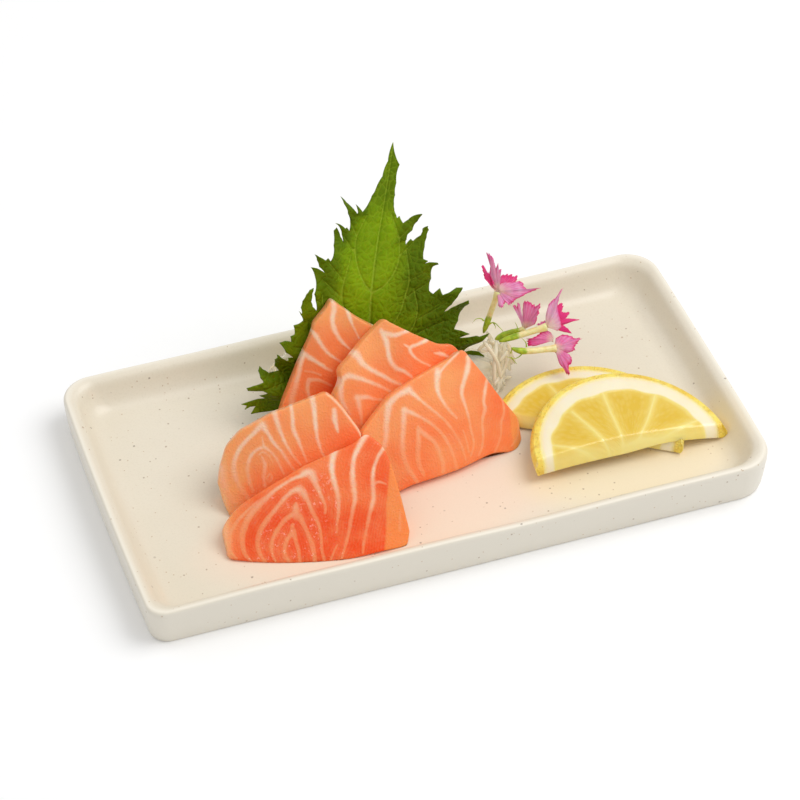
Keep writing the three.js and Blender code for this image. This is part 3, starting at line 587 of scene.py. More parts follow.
def straight_line(points, steps):
    """Places along straight runs between the points, with one place on each sharp corner."""
    points = np.array(points, dtype=float)
    runs = np.diff(points, axis=0)
    lengths = np.linalg.norm(runs, axis=1)
    at = np.concatenate([[0], np.cumsum(lengths)]) / lengths.sum()
    shares = np.linspace(0, 1, steps)
    for k in range(1, len(points) - 1):
        cosine = runs[k - 1] @ runs[k] / (lengths[k - 1] * lengths[k])
        if cosine < CORNER_COSINE:
            shares[1 + np.argmin(np.abs(shares[1:-1] - at[k]))] = at[k]
    return np.stack([np.interp(shares, at, points[:, k]) for k in (0, 1)], axis=1)


def slice_axes(cut):
    turn, lean = math.radians(cut["turn"]), math.radians(cut["lean"])
    along = np.array([math.cos(turn), math.sin(turn), 0])
    level = np.array([-math.sin(turn), math.cos(turn), 0])
    rise = math.sin(lean) * level + math.cos(lean) * np.array([0, 0, 1])
    return along, rise, np.cross(along, rise)


def slice_bow(cut, s, t):
    """How far the slice's face stands out of its own plane."""
    across = 2 * s / cut["span"] - 1
    high = t / cut["rise"]
    height, length, start = cut["ripple"]
    left, right = cut["bend"]
    flare = np.clip(cut.get("flare", 1) + high * FLARE_RISE, 0, 1)
    bow = (left * flare * np.maximum(0, -across) ** 2 + right * np.maximum(0, across) ** 2
           + height * np.sin(2 * np.pi * (s - start) / length) * np.maximum(0, high))
    if cut["heel"]:
        start, slant, up, fall = cut["heel"]
        beyond = np.clip((s - start - slant * t / up) / (cut["span"] - start), 0, 1)
        bow = bow - fall * beyond * np.clip(1 - high, 0, 1)
    return bow


def unit_block(name, columns, rows, levels):
    """A grid of faces one unit wide and deep, pulled down through levels into a block."""
    deselect_all()
    bpy.ops.mesh.primitive_grid_add(x_subdivisions=columns, y_subdivisions=rows, size=1)
    block = start_piece(name)
    drops = [low - high for low, high in zip(levels[1:], levels)]
    steps = [lambda drop=drop: bpy.ops.mesh.extrude_region_move(
        TRANSFORM_OT_translate={"value": (0, 0, -drop)}) for drop in drops]
    in_edit_mode(block, *steps)
    return block


def beside_line(points, line):
    """For each stretch of a line: how far off every point lies, and the width there."""
    for (x0, y0, w0), (x1, y1, w1) in zip(line, line[1:]):
        run = np.array([x1 - x0, y1 - y0])
        share = np.clip(((points - (x0, y0)) @ run) / max(run @ run, 1e-9), 0, 1)
        away = np.linalg.norm(points - (x0, y0) - share[:, None] * run, axis=1)
        yield away, w0 + share * (w1 - w0)


def line_gap(points, line):
    """How far each point lies outside a line whose width changes along it."""
    best = np.full(len(points), FAR)
    for away, wide in beside_line(points, line):
        best = np.minimum(best, away - wide / 2)
    return best


def fat_share(points, line):
    """How much fat shows at each point: most on the line's middle, none past its sides."""
    most = np.zeros(len(points))
    for away, wide in beside_line(points, line):
        near = np.exp(-(away / (0.46 * wide + 0.24)) ** 2)
        most = np.maximum(most, near * np.clip(0.45 + 0.5 * wide, 0, 1))
    return most


def cut_at_floor(height):
    """Takes away what lies below a height and closes the cut flat."""
    bpy.ops.mesh.bisect(plane_co=(0, 0, height), plane_no=(0, 0, 1), use_fill=True, clear_inner=True)


def is_inside(spot, tree):
    """Whether a ray from the spot leaves a closed piece an odd number of times."""
    heading = Vector((0.31, 0.23, 0.92)).normalized()
    crossings, start = 0, spot
    for _ in range(12):
        hit, _, _, _ = tree.ray_cast(start, heading)
        if hit is None:
            break
        crossings += 1
        start = hit + heading * 1e-5
    return crossings % 2 == 1


def stand_clear(piece, neighbours, clear):
    """Dents a soft piece where it touches, so that it lies just off its neighbours."""
    points = points_of(piece)
    depsgraph = bpy.context.evaluated_depsgraph_get()
    for other in neighbours:
        tree = BVHTree.FromObject(other, depsgraph)
        for i, point in enumerate(points):
            point = Vector(point)
            spot, _, _, distance = tree.find_nearest(point, TOUCH_REACH * MM)
            if spot is None:
                continue
            if is_inside(point, tree):
                points[i] = spot + (spot - point).normalized() * clear * MM
            elif distance < clear * MM:
                points[i] = spot + (point - spot).normalized() * clear * MM
    move_points(piece, points)


def cut_slice(cut):
    along, rise, facing = slice_axes(cut)
    foot = np.array(cut["foot"], dtype=float)
    edge = SLICE_EDGE / cut["thick"]
    piece = unit_block(cut["name"] + "_flesh", SLICE_COLUMNS, SLICE_ROWS, [0, edge, 1 - edge, 1])
    block = points_of(piece)
    u, v, level = block[:, 0] + 0.5, block[:, 1] + 0.5, -block[:, 2]
    low = smooth_line(cut["lower"], np.linspace(0, 1, SLICE_COLUMNS + 1))
    high = straight_line(cut["upper"], SLICE_COLUMNS + 1)
    high[1:-1] += CORNER_PUSH * (2 * high[1:-1] - high[:-2] - high[2:]) / 2
    column = np.round(u * SLICE_COLUMNS).astype(int)
    flat = low[column] * (1 - v[:, None]) + high[column] * v[:, None]
    middle = np.array([cut["span"] / 2, cut["rise"] * SLICE_MIDDLE])
    on_face = (level < 0.001) | (level > 0.999)
    reach = 1 - np.where(on_face, SLICE_EDGE, 0) / (cut["span"] / 2)
    flat = middle + (flat - middle) * reach[:, None]
    offset = FACE_OFFSET - cut["thick"] * level + slice_bow(cut, flat[:, 0], flat[:, 1])
    shaped = foot + flat[:, :1] * along + flat[:, 1:] * rise + offset[:, None] * facing
    move_points(piece, shaped * MM)
    apply_modifier(piece, "SUBSURF", levels=3, render_levels=3)

    # The marbling is known at each point by its place in the slice's own plane.
    points = points_of(piece) / MM
    plane = np.stack([(points - foot) @ along, (points - foot) @ rise], axis=1)
    fat = np.zeros(len(points))
    gap = np.full(len(points), FAR)
    for seam in cut["fat"]:
        line = smooth_line(seam, np.linspace(0, 1, 6 * len(seam)))
        fat = np.maximum(fat, fat_share(plane, line))
        gap = np.minimum(gap, line_gap(plane, line))
    normals = np.empty(3 * len(points))
    piece.data.vertices.foreach_get("normal", normals)
    sunk = FAT_SINK * fat
    move_points(piece, (points - sunk[:, None] * normals.reshape(-1, 3)) * MM)
    heel_at, slant, up, _ = cut["heel"] or (cut["span"] + PAST_END, 0, 1, 0)
    add_attribute(piece, "fat", fat)
    add_attribute(piece, "fibre", gap)
    add_attribute(piece, "along", plane[:, 0] / cut["span"])
    add_attribute(piece, "height", plane[:, 1] / cut["rise"])
    add_attribute(piece, "heel", plane[:, 0] - heel_at - slant * plane[:, 1] / up)
    start, upward, onward = cut["redness"]
    add_attribute(piece, "redness", start + upward * plane[:, 1] / cut["rise"]
                  + onward * plane[:, 0] / cut["span"])
    # Laying the block along the slice turned it inside out, so its faces are turned back.
    in_edit_mode(piece, face_out, lambda: cut_at_floor((TRAY_FLOOR + FLOOR_CLEAR) * MM))
    shade_smooth(piece)
    return piece


flesh = Finish("salmon_flesh", Roughness=0.36, Specular_IOR_Level=0.2, Subsurface_Weight=0.3,
               Subsurface_Scale=0.003, Coat_Roughness=0.1)
flesh.shader.inputs["Subsurface Radius"].default_value = (1.0, 0.35, 0.12)
place = flesh.object_place()
height = flesh.attribute("height")
along = flesh.attribute("along")
redness = flesh.attribute("redness")
patch = flesh.noise(48, 2, place)
mottle = flesh.noise(160, 3, place)
grain = flesh.noise(1500, 3, place)

# Deep orange red low in the middle, lighter orange up the slice and at its left end.
lightness = height + (patch - 0.5) * 1.2 + (0.2 - along).smooth(0.0, 0.2) * 0.55 - redness
meat = flesh.blend(lightness.smooth(-0.1, 0.4), paint(246, 82, 18), paint(255, 122, 62))
meat = flesh.blend(lightness.smooth(0.3, 0.9), meat, paint(255, 166, 100))
meat = flesh.blend(mottle.smooth(0.35, 0.75) * 0.35, meat, paint(255, 150, 92))
# Painted light makes the right end, where it turns back, a lighter orange.
turned = (flesh.attribute("heel") + (patch - 0.5) * 3).smooth(-0.4, 0.5)
meat = flesh.blend(turned * 0.7, meat, paint(254, 158, 82))
pale_rim = along.smooth(0.05, 0.0) * (1 - height.smooth(0.3, 0.6))
meat = flesh.blend(pale_rim * 0.7, meat, paint(253, 192, 142))

# Fine fibres run beside the lines of fat and break up their sides.
fibre = (flesh.attribute("fibre") * FIBRE_PITCH + mottle * FIBRE_WANDER).sine()
meat = flesh.blend((fibre * 0.5 + 0.5) * mottle * 0.2, meat, paint(250, 172, 128))
streaks = flesh.noise(190, 2, place)
fat = flesh.attribute("fat") + (flesh.noise(520, 3, place) - 0.5) * 0.5 + (grain - 0.5) * 0.2
pale_up = (height + (patch - 0.5) * 0.6).smooth(0.05, 0.7)
cream = flesh.blend(pale_up, paint(254, 162, 110), paint(255, 222, 194))
meat = flesh.blend(fat.smooth(0.0, 0.6) * 0.38, meat, paint(253, 172, 118))
strength = 0.38 + height.smooth(0.1, 0.7) * 0.34 + streaks.smooth(0.3, 0.7) * 0.28
dew = flesh.noise(900, 2, place)
flesh.set(Base_Color=flesh.blend(fat.smooth(0.15, 1.15) * strength, meat, cream),
          Roughness=0.28 + grain * 0.2, Coat_Weight=0.06 + dew.smooth(0.6, 0.68) * 0.9,
          Normal=flesh.bump(grain.smooth(0.42, 0.72) + mottle * 0.6, 0.00015, 0.6))

slices_laid = []
for cut in SLICES:
    piece = cut_slice(cut)
    stand_clear(piece, slices_laid, TOUCH_CLEAR)
    slices_laid.append(piece)
    flesh.put_on(piece)
    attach(piece, "root")
    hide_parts(cut["name"])


# ---------------------------------------------------------------- shiso leaf
# One fresh shiso leaf stands on its base behind the fish and leans back on the
# daikon. It is thin, deeply toothed and ruffled, with pale veins on its face.

LEAF_BASE = np.array([-3.0, 24.0, 9.0])
LEAF_TIP = np.array([10.0, 46.0, 86.0])
LEAF_THICK = 0.5
LEAF_KEEL = 1.6
LEAF_RUFFLE = 1.5
LEAF_RUFFLE_WAVE = 17.0
VEIN_RISE = 0.5
FLAT_REACH = 10.0
MIDRIB_X = [-3, -4.4, -4.8, -3.9, -2.2, -0.7]
MIDRIB_FROM = -2.0
MIDRIB_TO = 82.0
LEAF_MESH = 0.55
FLANK_STEP = 0.6
FLANK_DIP = 0.06
CURL = 1.5
CURL_REACH = 14.0
SWELL = 0.6
SWELL_REACH = 1.6
LEAF_LOOK = 6.0
LEAF_GAP = 0.3
LEAF_EASE = 7.0

# The blade's two margins without their finer teeth, for how far out it ruffles.
MARGIN_LEFT = [(-14, -4.5), (-26, -6.5), (-35, -5), (-41.5, -6), (-42, -4.5), (-44.7, -3.3),
               (-37.5, 0.4), (-44.7, 4), (-39, 5.6), (-40, 9), (-31.5, 7.6), (-35.4, 13.5),
               (-30, 12.5), (-34.7, 18), (-28.6, 17.9), (-29, 27.5), (-25.5, 29), (-25, 41.5),
               (-20.6, 41), (-25.2, 48), (-18.2, 44), (-18.3, 56.5), (-14, 50), (-16.4, 64.5),
               (-11.8, 56.5), (-11.1, 61.7), (-8.1, 60.5), (-5.8, 64.4), (-3.6, 71.2), (-2, 76)]
MARGIN_RIGHT = [(4, -2), (9, -1.2), (14, 0), (20, 1), (27, 2.8), (33, 4.4), (36.3, 5.6),
                (29.3, 8.4), (28.4, 10.6), (35.2, 14.9), (28.8, 15), (23.9, 16.9), (27.7, 27),
                (20.6, 22.5), (24.8, 32), (15.6, 29.3), (17.6, 31.8), (14.4, 32), (15, 41.2),
                (11.6, 41.8), (12.6, 53.2), (6.8, 47.5), (5.6, 50.3), (9.3, 58), (3.6, 55),
                (1.4, 57.6), (0.6, 62), (0.7, 65), (0.9, 69), (1.5, 75)]

# The teeth and notches along each side of the leaf, from its root to its tip.
TEETH_LEFT = [(-14, -4.5), (-26, -6), (-34.6, -5.6), (-37, -5.8), (-42.5, -5.6), (-41, -4.2),
              (-40.5, -3.7), (-42.6, -3.6), (-44.4, -4.1), (-43.5, -3.2), (-45.4, -2.6), (-42.7, -2),
              (-40.3, -0.9), (-38.1, -0.5), (-40.3, 1), (-38, 2.1), (-39.7, 3.1), (-44.4, 3.3),
              (-45, 4.4), (-43, 5.3), (-39.5, 5.9), (-40.4, 7.2), (-40.7, 8.9), (-40, 10), (-39, 9),
              (-37, 7.7), (-33.4, 7.6), (-34.9, 9.4), (-35.7, 12.6), (-35.4, 14.8), (-34, 13.8),
              (-32, 12.3), (-31.4, 12.9), (-29.8, 13), (-32.6, 15.4), (-34.7, 18.6), (-32.7, 18.9),
              (-30.6, 18.3), (-30.8, 19.9), (-29.4, 20.4), (-29.9, 23.5), (-28.2, 23.8), (-26.8, 24.8),
              (-28, 27.3), (-28.8, 28.7), (-27.6, 27.5), (-28.1, 29.7), (-27.8, 32), (-26.9, 34.4),
              (-25.7, 35.7), (-24.3, 36), (-24.8, 34.4), (-24.9, 31.6), (-24.3, 29.8), (-22.9, 28.2),
              (-23.2, 31.3), (-23.9, 33.8), (-23.3, 36), (-23.7, 39.5), (-25.1, 42.5), (-23.4, 42.3),
              (-21.8, 41.4), (-20.8, 40.6), (-22.8, 43), (-24.2, 45.9), (-25.7, 48.8), (-23.6, 47.2),
              (-21.1, 45.3), (-20.3, 46), (-19.3, 44.6), (-18.4, 46.9), (-18.4, 49.6), (-18.1, 53.9),
              (-17.6, 55.4), (-16.9, 54.2), (-16.1, 52.2), (-15.1, 50), (-15.6, 52.6), (-16.4, 54.9),
              (-18.9, 57.9), (-17.4, 57.2), (-14.9, 55), (-14.4, 55.4), (-13.5, 53.9), (-13.6, 57.4),
              (-14.8, 60.4), (-16, 63.5), (-17, 65.7), (-15.1, 63.8), (-11.6, 60), (-11.9, 62.8),
              (-9.8, 60.4), (-7.9, 62.5), (-6.7, 65.1), (-5.7, 67.3), (-3.6, 71.2), (-2, 76)]
TEETH_RIGHT = [(4, -2), (9, -1.2), (14, 0), (20, 1), (27, 2.8), (31.8, 6), (34.4, 6.9), (34.8, 7.5),
               (33.1, 8.8), (30.1, 9.7), (27.1, 9.8), (27.5, 11.4), (29.2, 13.2), (31.7, 15.1),
               (34.3, 17), (31.5, 16.7), (27.9, 16.1), (24.4, 15.6), (26, 16.5), (27.8, 17.2),
               (25.6, 17.9), (23.2, 18.3), (24.7, 20.8), (26, 24.5), (26.8, 27.8), (26.3, 29.2),
               (25.1, 28.3), (23, 26.5), (20.8, 25), (19.2, 24.4), (21.4, 27.4), (22.7, 30.2),
               (24.6, 33), (22.6, 33.1), (20, 32.2), (17.9, 31.2), (17.3, 33), (15.3, 31.1), (14, 32.1),
               (14.5, 36.2), (14.2, 40.8), (15.6, 42), (15.2, 42.6), (12.9, 42.4), (11.2, 41.6),
               (12.4, 42.9), (11, 43.4), (11.4, 47.2), (12.1, 50.1), (12.5, 52.8), (11.9, 54.3),
               (11, 53.5), (10.1, 51), (7.9, 49), (6.9, 50), (6, 49), (5.4, 47.8), (5.2, 52),
               (6.7, 53.4), (7.9, 56.6), (9, 59.3), (7, 58.3), (5.3, 56.8), (3.8, 55.7), (2.6, 57.9),
               (2, 57.1), (1.5, 58.4), (0.8, 60.4), (0.6, 62), (0.7, 65), (0.9, 69), (1.5, 75)]

# Main veins beside the midrib, from root to end: x, y and width.
LEAF_VEINS = [
    [(-4.5, 32.2, 0.45), (-7.3, 35.7, 0.4), (-9.5, 40.2, 0.4), (-11.0, 46, 0.35), (-10.9, 52, 0.3),
     (-8.2, 59, 0.2)],
    [(-4.5, 32.2, 0.45), (-0.8, 34.5, 0.4), (2.1, 38.9, 0.4), (3.5, 44, 0.35), (2.8, 50.5, 0.3),
     (0, 58.5, 0.2)],
    [(-4.6, 16, 0.5), (-9, 20.5, 0.45), (-12.8, 25.5, 0.4), (-14.3, 31, 0.4), (-14.2, 37, 0.35),
     (-12.4, 45.8, 0.2)],
    [(-4.6, 16, 0.5), (0.5, 19, 0.45), (4.2, 23.5, 0.4), (6.2, 29.6, 0.4), (7, 36, 0.35), (5.7, 46.4, 0.2)],
    [(-4.2, 8, 0.5), (2, 11, 0.45), (7.5, 16, 0.4), (10.2, 22.1, 0.35), (10.3, 27.9, 0.3), (9, 33, 0.2)],
    [(-4.2, 8, 0.5), (-11, 12, 0.45), (-17, 18, 0.4), (-20, 25, 0.35), (-21, 33, 0.2)],
    [(-3.4, 2, 0.5), (-12, 3.5, 0.45), (-21, 6, 0.4), (-30, 11, 0.2)],
    [(-3.4, 2, 0.5), (6, 4, 0.45), (15, 7, 0.4), (24, 12, 0.2)],
    [(-3.2, 0, 0.4), (-14, -1.5, 0.35), (-26, -2, 0.3), (-38, -1, 0.15)],
    [(-3.2, 0, 0.4), (8, 1, 0.35), (19, 3, 0.3), (30, 5, 0.15)],
]
# Side veins that leave a main vein for a tooth.
LEAF_SIDE_VEINS = [
    [(-11, 46, 0.25), (-15, 52, 0.12)], [(-10.9, 52, 0.25), (-14.5, 59, 0.12)],
    [(-14.3, 31, 0.25), (-21, 38, 0.12)], [(-14.2, 37, 0.25), (-20, 44.5, 0.12)],
    [(3.5, 44, 0.25), (9, 50, 0.12)], [(2.8, 50.5, 0.25), (7, 55.5, 0.12)],
    [(7, 36, 0.25), (12.5, 39, 0.12)], [(6.2, 29.6, 0.25), (14, 35, 0.12)],
    [(10.2, 22.1, 0.25), (20, 28, 0.12)], [(7.5, 16, 0.25), (20, 21, 0.12)],
    [(15, 7, 0.25), (30, 13.5, 0.12)], [(-17, 18, 0.25), (-26, 25, 0.12)],
    [(-12.8, 25.5, 0.25), (-24, 32, 0.12)], [(-11, 12, 0.25), (-30, 16.5, 0.12)],
    [(-21, 6, 0.25), (-36, 7.5, 0.12)], [(-21, 6, 0.25), (-40, 3.5, 0.12)],
]


def leaf_axes():
    rise = LEAF_TIP - LEAF_BASE
    rise = rise / np.linalg.norm(rise)
    across = np.array([1.0, 0, 0]) - rise * rise[0]
    across = across / np.linalg.norm(across)
    return across, rise, np.cross(across, rise)


def midrib_x(y):
    line = smooth_line([(x, i) for i, x in enumerate(MIDRIB_X)], np.linspace(0, 1, 200))
    share = np.clip((y - MIDRIB_FROM) / (MIDRIB_TO - MIDRIB_FROM), 0, 1)
    return np.interp(share * (len(MIDRIB_X) - 1), line[:, 1], line[:, 0])


def mesh_piece(name, points, faces):
    mesh = bpy.data.meshes.new(name)
    mesh.from_pydata(points, [], faces)
    piece = bpy.data.objects.new(name, mesh)
    bpy.context.collection.objects.link(piece)
    return piece


def toothed(margin):
    """The margin in short steps, each flank of a tooth a little hollow."""
    points = []
    for start, end in zip(margin, margin[1:]):
        start, end = np.array(start, dtype=float), np.array(end, dtype=float)
        length = np.linalg.norm(end - start)
        inward = np.sign(MIDRIB_X[2] - (start[0] + end[0]) / 2)
        count = max(2, int(length / FLANK_STEP))
        for i in range(count):
            t = i / count
            dip = FLANK_DIP * length * 4 * t * (1 - t)
            points.append(start + (end - start) * t + np.array([dip * inward, 0]))
    return points


def inside_outline(spots, outline):
    """Which spots lie within a closed outline, by counting its crossings to the right."""
    within = np.zeros(len(spots), dtype=bool)
    for (x0, y0), (x1, y1) in zip(outline, np.roll(outline, -1, axis=0)):
        if y0 != y1:
            spans = (y0 > spots[:, 1]) != (y1 > spots[:, 1])
            within ^= spans & (spots[:, 0] < x0 + (spots[:, 1] - y0) * (x1 - x0) / (y1 - y0))
    return within


def leaf_sheet():
    """The flat leaf: a fine triangle mesh that follows its margin, midrib and veins."""
    tip = (MIDRIB_X[-1], MIDRIB_TO)
    outline = np.array(toothed(TEETH_LEFT + [tip]) + toothed([tip] + TEETH_RIGHT[::-1])
                       + [TEETH_RIGHT[0]])
    rib_y = np.arange(MIDRIB_FROM, MIDRIB_TO, LEAF_MESH)
    ribs = [np.stack([midrib_x(rib_y), rib_y], axis=1)]
    for vein in LEAF_VEINS + LEAF_SIDE_VEINS:
        line = np.array(vein)[:, :2]
        length = np.linalg.norm(np.diff(line, axis=0), axis=1).sum()
        ribs.append(smooth_line(line, np.linspace(0, 1, int(length / LEAF_MESH))))
    ribs = np.vstack(ribs)
    ribs = ribs[inside_outline(ribs, outline)]
    low, high = outline.min(axis=0), outline.max(axis=0)
    spots = np.array([(x + LEAF_MESH / 2 * (row % 2), y)
                      for row, y in enumerate(np.arange(low[1], high[1], LEAF_MESH * 0.87))
                      for x in np.arange(low[0], high[0], LEAF_MESH)])
    nearest = np.full(len(spots), FAR)
    for x, y in np.vstack([outline, ribs]):
        nearest = np.minimum(nearest, np.hypot(spots[:, 0] - x, spots[:, 1] - y))
    spots = spots[inside_outline(spots, outline) & (nearest > LEAF_MESH / 2)]
    edges = [(i, (i + 1) % len(outline)) for i in range(len(outline))]
    corners = [Vector(point) for point in np.vstack([outline, ribs, spots])]
    corners, _, faces, *_ = delaunay_2d_cdt(corners, edges, [], 1, 1e-6)
    sheet = mesh_piece("shiso", [(x, y, 0) for x, y in corners], faces)
    in_edit_mode(sheet, lambda: bpy.ops.mesh.extrude_region_move(
        TRANSFORM_OT_translate={"value": (0, 0, -1)}))
    return sheet


def margin_reach(side):
    """The leaf's reach to one margin, at the midrib's heights that its points grow from."""
    roots, reach, highest = [], [], MIDRIB_FROM + 1
    for ends in zip(MARGIN_LEFT, MARGIN_RIGHT):
        highest = max(highest, sum(y - VEIN_RISE * abs(x) for x, y in ends) / 2)
        roots.append(highest)
        reach.append(math.hypot(ends[side][0] - midrib_x(highest), ends[side][1] - highest))
    reach = np.array(reach + [0.5])
    widest = np.maximum(reach, np.maximum(np.roll(reach, 1), np.roll(reach, -1)))
    return np.array(roots + [MIDRIB_TO]), widest


leaf_across, leaf_rise, leaf_facing = leaf_axes()
leaf = leaf_sheet()
block = points_of(leaf)
plane = block[:, :2].copy()
from_rib = plane[:, 0] - midrib_x(plane[:, 1])
side = (from_rib > 0).astype(int)
root = plane[:, 1] - VEIN_RISE * np.abs(from_rib)
reach = np.where(side == 1, np.interp(root, *margin_reach(1)), np.interp(root, *margin_reach(0)))
share = np.clip(np.abs(from_rib) * math.hypot(1, VEIN_RISE) / np.maximum(reach, 0.5), 0, 1.1)
flatness = np.minimum(1, reach / FLAT_REACH)
phase = np.where(side == 1, 2.1, 0.4)
swing = np.sin(2 * np.pi * root / LEAF_RUFFLE_WAVE + phase)
height = LEAF_KEEL * share * flatness + LEAF_RUFFLE * (share * flatness) ** 2 * swing

# The teeth curl, each its own way, and the face swells between the veins.
curl = np.sin(plane[:, 1] * 0.5 + plane[:, 0] * 0.16 + side * 1.7)
curl *= np.clip((share - 0.6) / 0.4, 0, 1.2) ** 2 * np.clip((plane[:, 1] - 2) / 16, 0.15, 1)
height += CURL * curl * np.minimum(1, reach / CURL_REACH)
vein_gap = np.abs(from_rib) - 0.45 * (1 - np.clip(plane[:, 1] / MIDRIB_TO, 0, 0.8))
for vein in LEAF_VEINS:
    vein_gap = np.minimum(vein_gap, line_gap(plane, smooth_line(vein, np.linspace(0, 1, 5 * len(vein)))))
for vein in LEAF_SIDE_VEINS:
    vein_gap = np.minimum(vein_gap, line_gap(plane, vein))
height += SWELL * (1 - np.exp(-np.maximum(vein_gap, 0) / SWELL_REACH)) * flatness

# Where a slice leans on the leaf, the leaf gives way, and more gently round about.
depsgraph = bpy.context.evaluated_depsgraph_get()
trees = [BVHTree.FromObject(piece, depsgraph) for piece in slices_laid]
behind = LEAF_BASE + plane[:, :1] * leaf_across + plane[:, 1:] * leaf_rise - LEAF_LOOK * leaf_facing
give = np.zeros(len(plane))
for i, start in enumerate(behind):
    for tree in trees:
        hit, _, _, distance = tree.ray_cast(Vector(start) * MM, Vector(leaf_facing), 2 * LEAF_LOOK * MM)
        if hit is not None:
            give[i] = max(give[i], height[i] + LEAF_GAP - (distance / MM - LEAF_LOOK))
eased = give.copy()
for i in np.nonzero(give > 0)[0]:
    away = np.hypot(plane[:, 0] - plane[i, 0], plane[:, 1] - plane[i, 1])
    eased = np.maximum(eased, give[i] * np.clip(1 - away / LEAF_EASE, 0, 1))
height -= eased
height += LEAF_THICK * (0.5 + block[:, 2])
shaped = (LEAF_BASE + plane[:, :1] * leaf_across + plane[:, 1:] * leaf_rise
          + height[:, None] * leaf_facing)
move_points(leaf, shaped * MM)
add_attribute(leaf, "vein_gap", vein_gap)
add_attribute(leaf, "outward", share * flatness)
add_attribute(leaf, "rear", -block[:, 2])
add_attribute(leaf, "aside", from_rib)
add_attribute(leaf, "tall", plane[:, 1] / MIDRIB_TO)
in_edit_mode(leaf, merge_and_face_out, lambda: cut_at_floor((TRAY_FLOOR + FLOOR_CLEAR) * MM))
shade_smooth(leaf)

blade = Finish("shiso_blade", Roughness=0.5, Specular_IOR_Level=0.1, Subsurface_Weight=0.12,
               Subsurface_Scale=0.001)
place = blade.object_place()
vein_gap = blade.attribute("vein_gap")
outward = blade.attribute("outward")
rear = blade.attribute("rear")
cloud = blade.noise(60, 3, place)
fine_cloud = blade.noise(420, 3, place)
# Painted light brightens the blade's middle, and painted shade darkens it out towards the teeth, where they
# tilt away.
painted_lit_green = blade.blend(cloud.smooth(0.3, 0.7), paint(124, 158, 4), paint(142, 174, 12))
painted_shade_green = blade.blend(cloud.smooth(0.3, 0.7), paint(84, 108, 1), paint(116, 136, 4))
green = blade.blend((outward + (cloud - 0.5) * 0.6).smooth(0.25, 0.9), painted_lit_green, painted_shade_green)
# Painted shade darkens the right half of the blade.
shaded = (blade.attribute("aside") + (cloud - 0.5) * 8).smooth(3.0, 12.0) * 0.42
green = blade.blend(shaded, green, paint(82, 106, 1))
toward_tip = (blade.attribute("tall") + (cloud - 0.5) * 0.1).smooth(0.66, 0.8)
green = blade.blend(toward_tip * 0.7, green, paint(84, 106, 2))
# A painted shade lies dark along the fold where the teeth begin.
fold = outward + (cloud - 0.5) * 0.35
green = blade.blend(fold.smooth(0.45, 0.62) * fold.smooth(0.85, 0.68) * 0.45, green, paint(64, 88, 1))
green = blade.blend(fine_cloud.smooth(0.35, 0.75) * 0.25, green, paint(86, 118, 2))
astray = blade.node("ShaderNodeVectorMath", {"operation": "SCALE"},
                    {0: blade.noise_colour(260, place), "Scale": 0.0022})
wander = blade.node("ShaderNodeVectorMath", {"operation": "ADD"}, {0: place, 1: astray})
net = blade.node("ShaderNodeTexVoronoi", {"feature": "DISTANCE_TO_EDGE"},
                 {"Vector": wander, "Scale": 420}, "Distance")
fine_net = blade.node("ShaderNodeTexVoronoi", {"feature": "DISTANCE_TO_EDGE"},
                      {"Vector": wander, "Scale": 1100}, "Distance")
green = blade.blend((1 - net.smooth(0.0, 0.12)) * (1 - outward) * 0.3, green, paint(156, 186, 44))
vein = 1 - vein_gap.smooth(-0.18, 0.16)
green = blade.blend(vein * (0.62 - outward * 0.3), green, paint(158, 184, 54))
green = blade.blend(rear * 0.35, green, paint(116, 142, 58))
puff = (net.smooth(0.0, 0.35) + fine_net * 0.5) * (0.3 + outward * 0.7) + vein_gap.smooth(0.0, 0.6) * 0.6
blade.set(Base_Color=green, Normal=blade.bump(puff, 0.00045, 0.75))
blade.put_on(leaf)
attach(leaf, "root")
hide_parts("shiso_leaf")


# ---------------------------------------------------------------- lemon
# Two half slices of fresh lemon lie one over the other. A thin oily zest bounds
# thick white pith, and thin skins part the juicy wedges round a pale core.

LEMON_THICK = 4.4
LEMON_EDGE = 0.7
CUT_SLOPE = 3.2
CUT_ROUND = 2.2
SAG_TO = 0.35
SAG_FADE = 0.4
ZEST_BULGE = 0.5
SKIN_WIDTH = 0.16
WEDGE_SINK = 0.28
WEDGE_ROUND = 0.8
CORE_ROUND = 1.2
CUT_BAND = 2.4
CORE_DEEP = 1.7
LEMON_COLUMNS = 30
LEMON_ROWS = 9
ZEST_DEPTH = 3.2

# place and heading set a half's plane, tip and crown bend it, and sag lets it down on
# what lies below. pith is its depth at the right end, the crown and the left end, and
# the skins part the wedges, from the pith to the core, in the half's own plane.
LEMONS = [
    dict(name="lemon_slice_back", place=(51.9, -16.7, 7.1), radius=30, heading=-32, tilt=0, tip=0,
         crown=0, sag=(0, 0), seed=5, pith=(6.6, 6.5, 5.2), core=(0, 2.6),
         skins=[[(-16, 17.6), (-7.5, 8.5), (-0.6, 0)],
                [(1, 23.5), (0, 12), (-0.3, 0.5)], [(16, 16.8), (8, 8.2), (0.6, 0)],
                [(23.6, 4.2), (11, 1.4), (1.2, -0.6)]]),
    dict(name="lemon_slice_front", place=(61.6, -30.2, 8.7), radius=31.6, heading=-0.9, tilt=0.4,
         tip=1.5, crown=3.1, sag=(0.8, 1.5), seed=8, pith=(7.2, 8.7, 5.5), core=(3.2, 6.4),
         skins=[[(-26.5, 7.2), (-18.9, 2.8), (-8, -1.5)],
                [(-13.8, 17.6), (-10.7, 8.7), (-8.7, 2.5), (-6.2, -1)],
                [(-1.6, 22.6), (-2.5, 11.5), (-2.8, 0.7)], [(14.6, 18.4), (7.6, 7.4), (1.2, -0.4)],
                [(24.6, 4.8), (13.6, 1.5), (5, -0.6)]]),
]


def lemon_axes(half):
    turn, tilt = math.radians(half["heading"]), math.radians(half["tilt"])
    along = np.array([math.cos(turn), math.sin(turn), 0])
    level = np.array([-math.sin(turn), math.cos(turn), 0])
    inward = math.cos(tilt) * level + math.sin(tilt) * np.array([0, 0, 1])
    return along, inward, np.cross(along, inward)


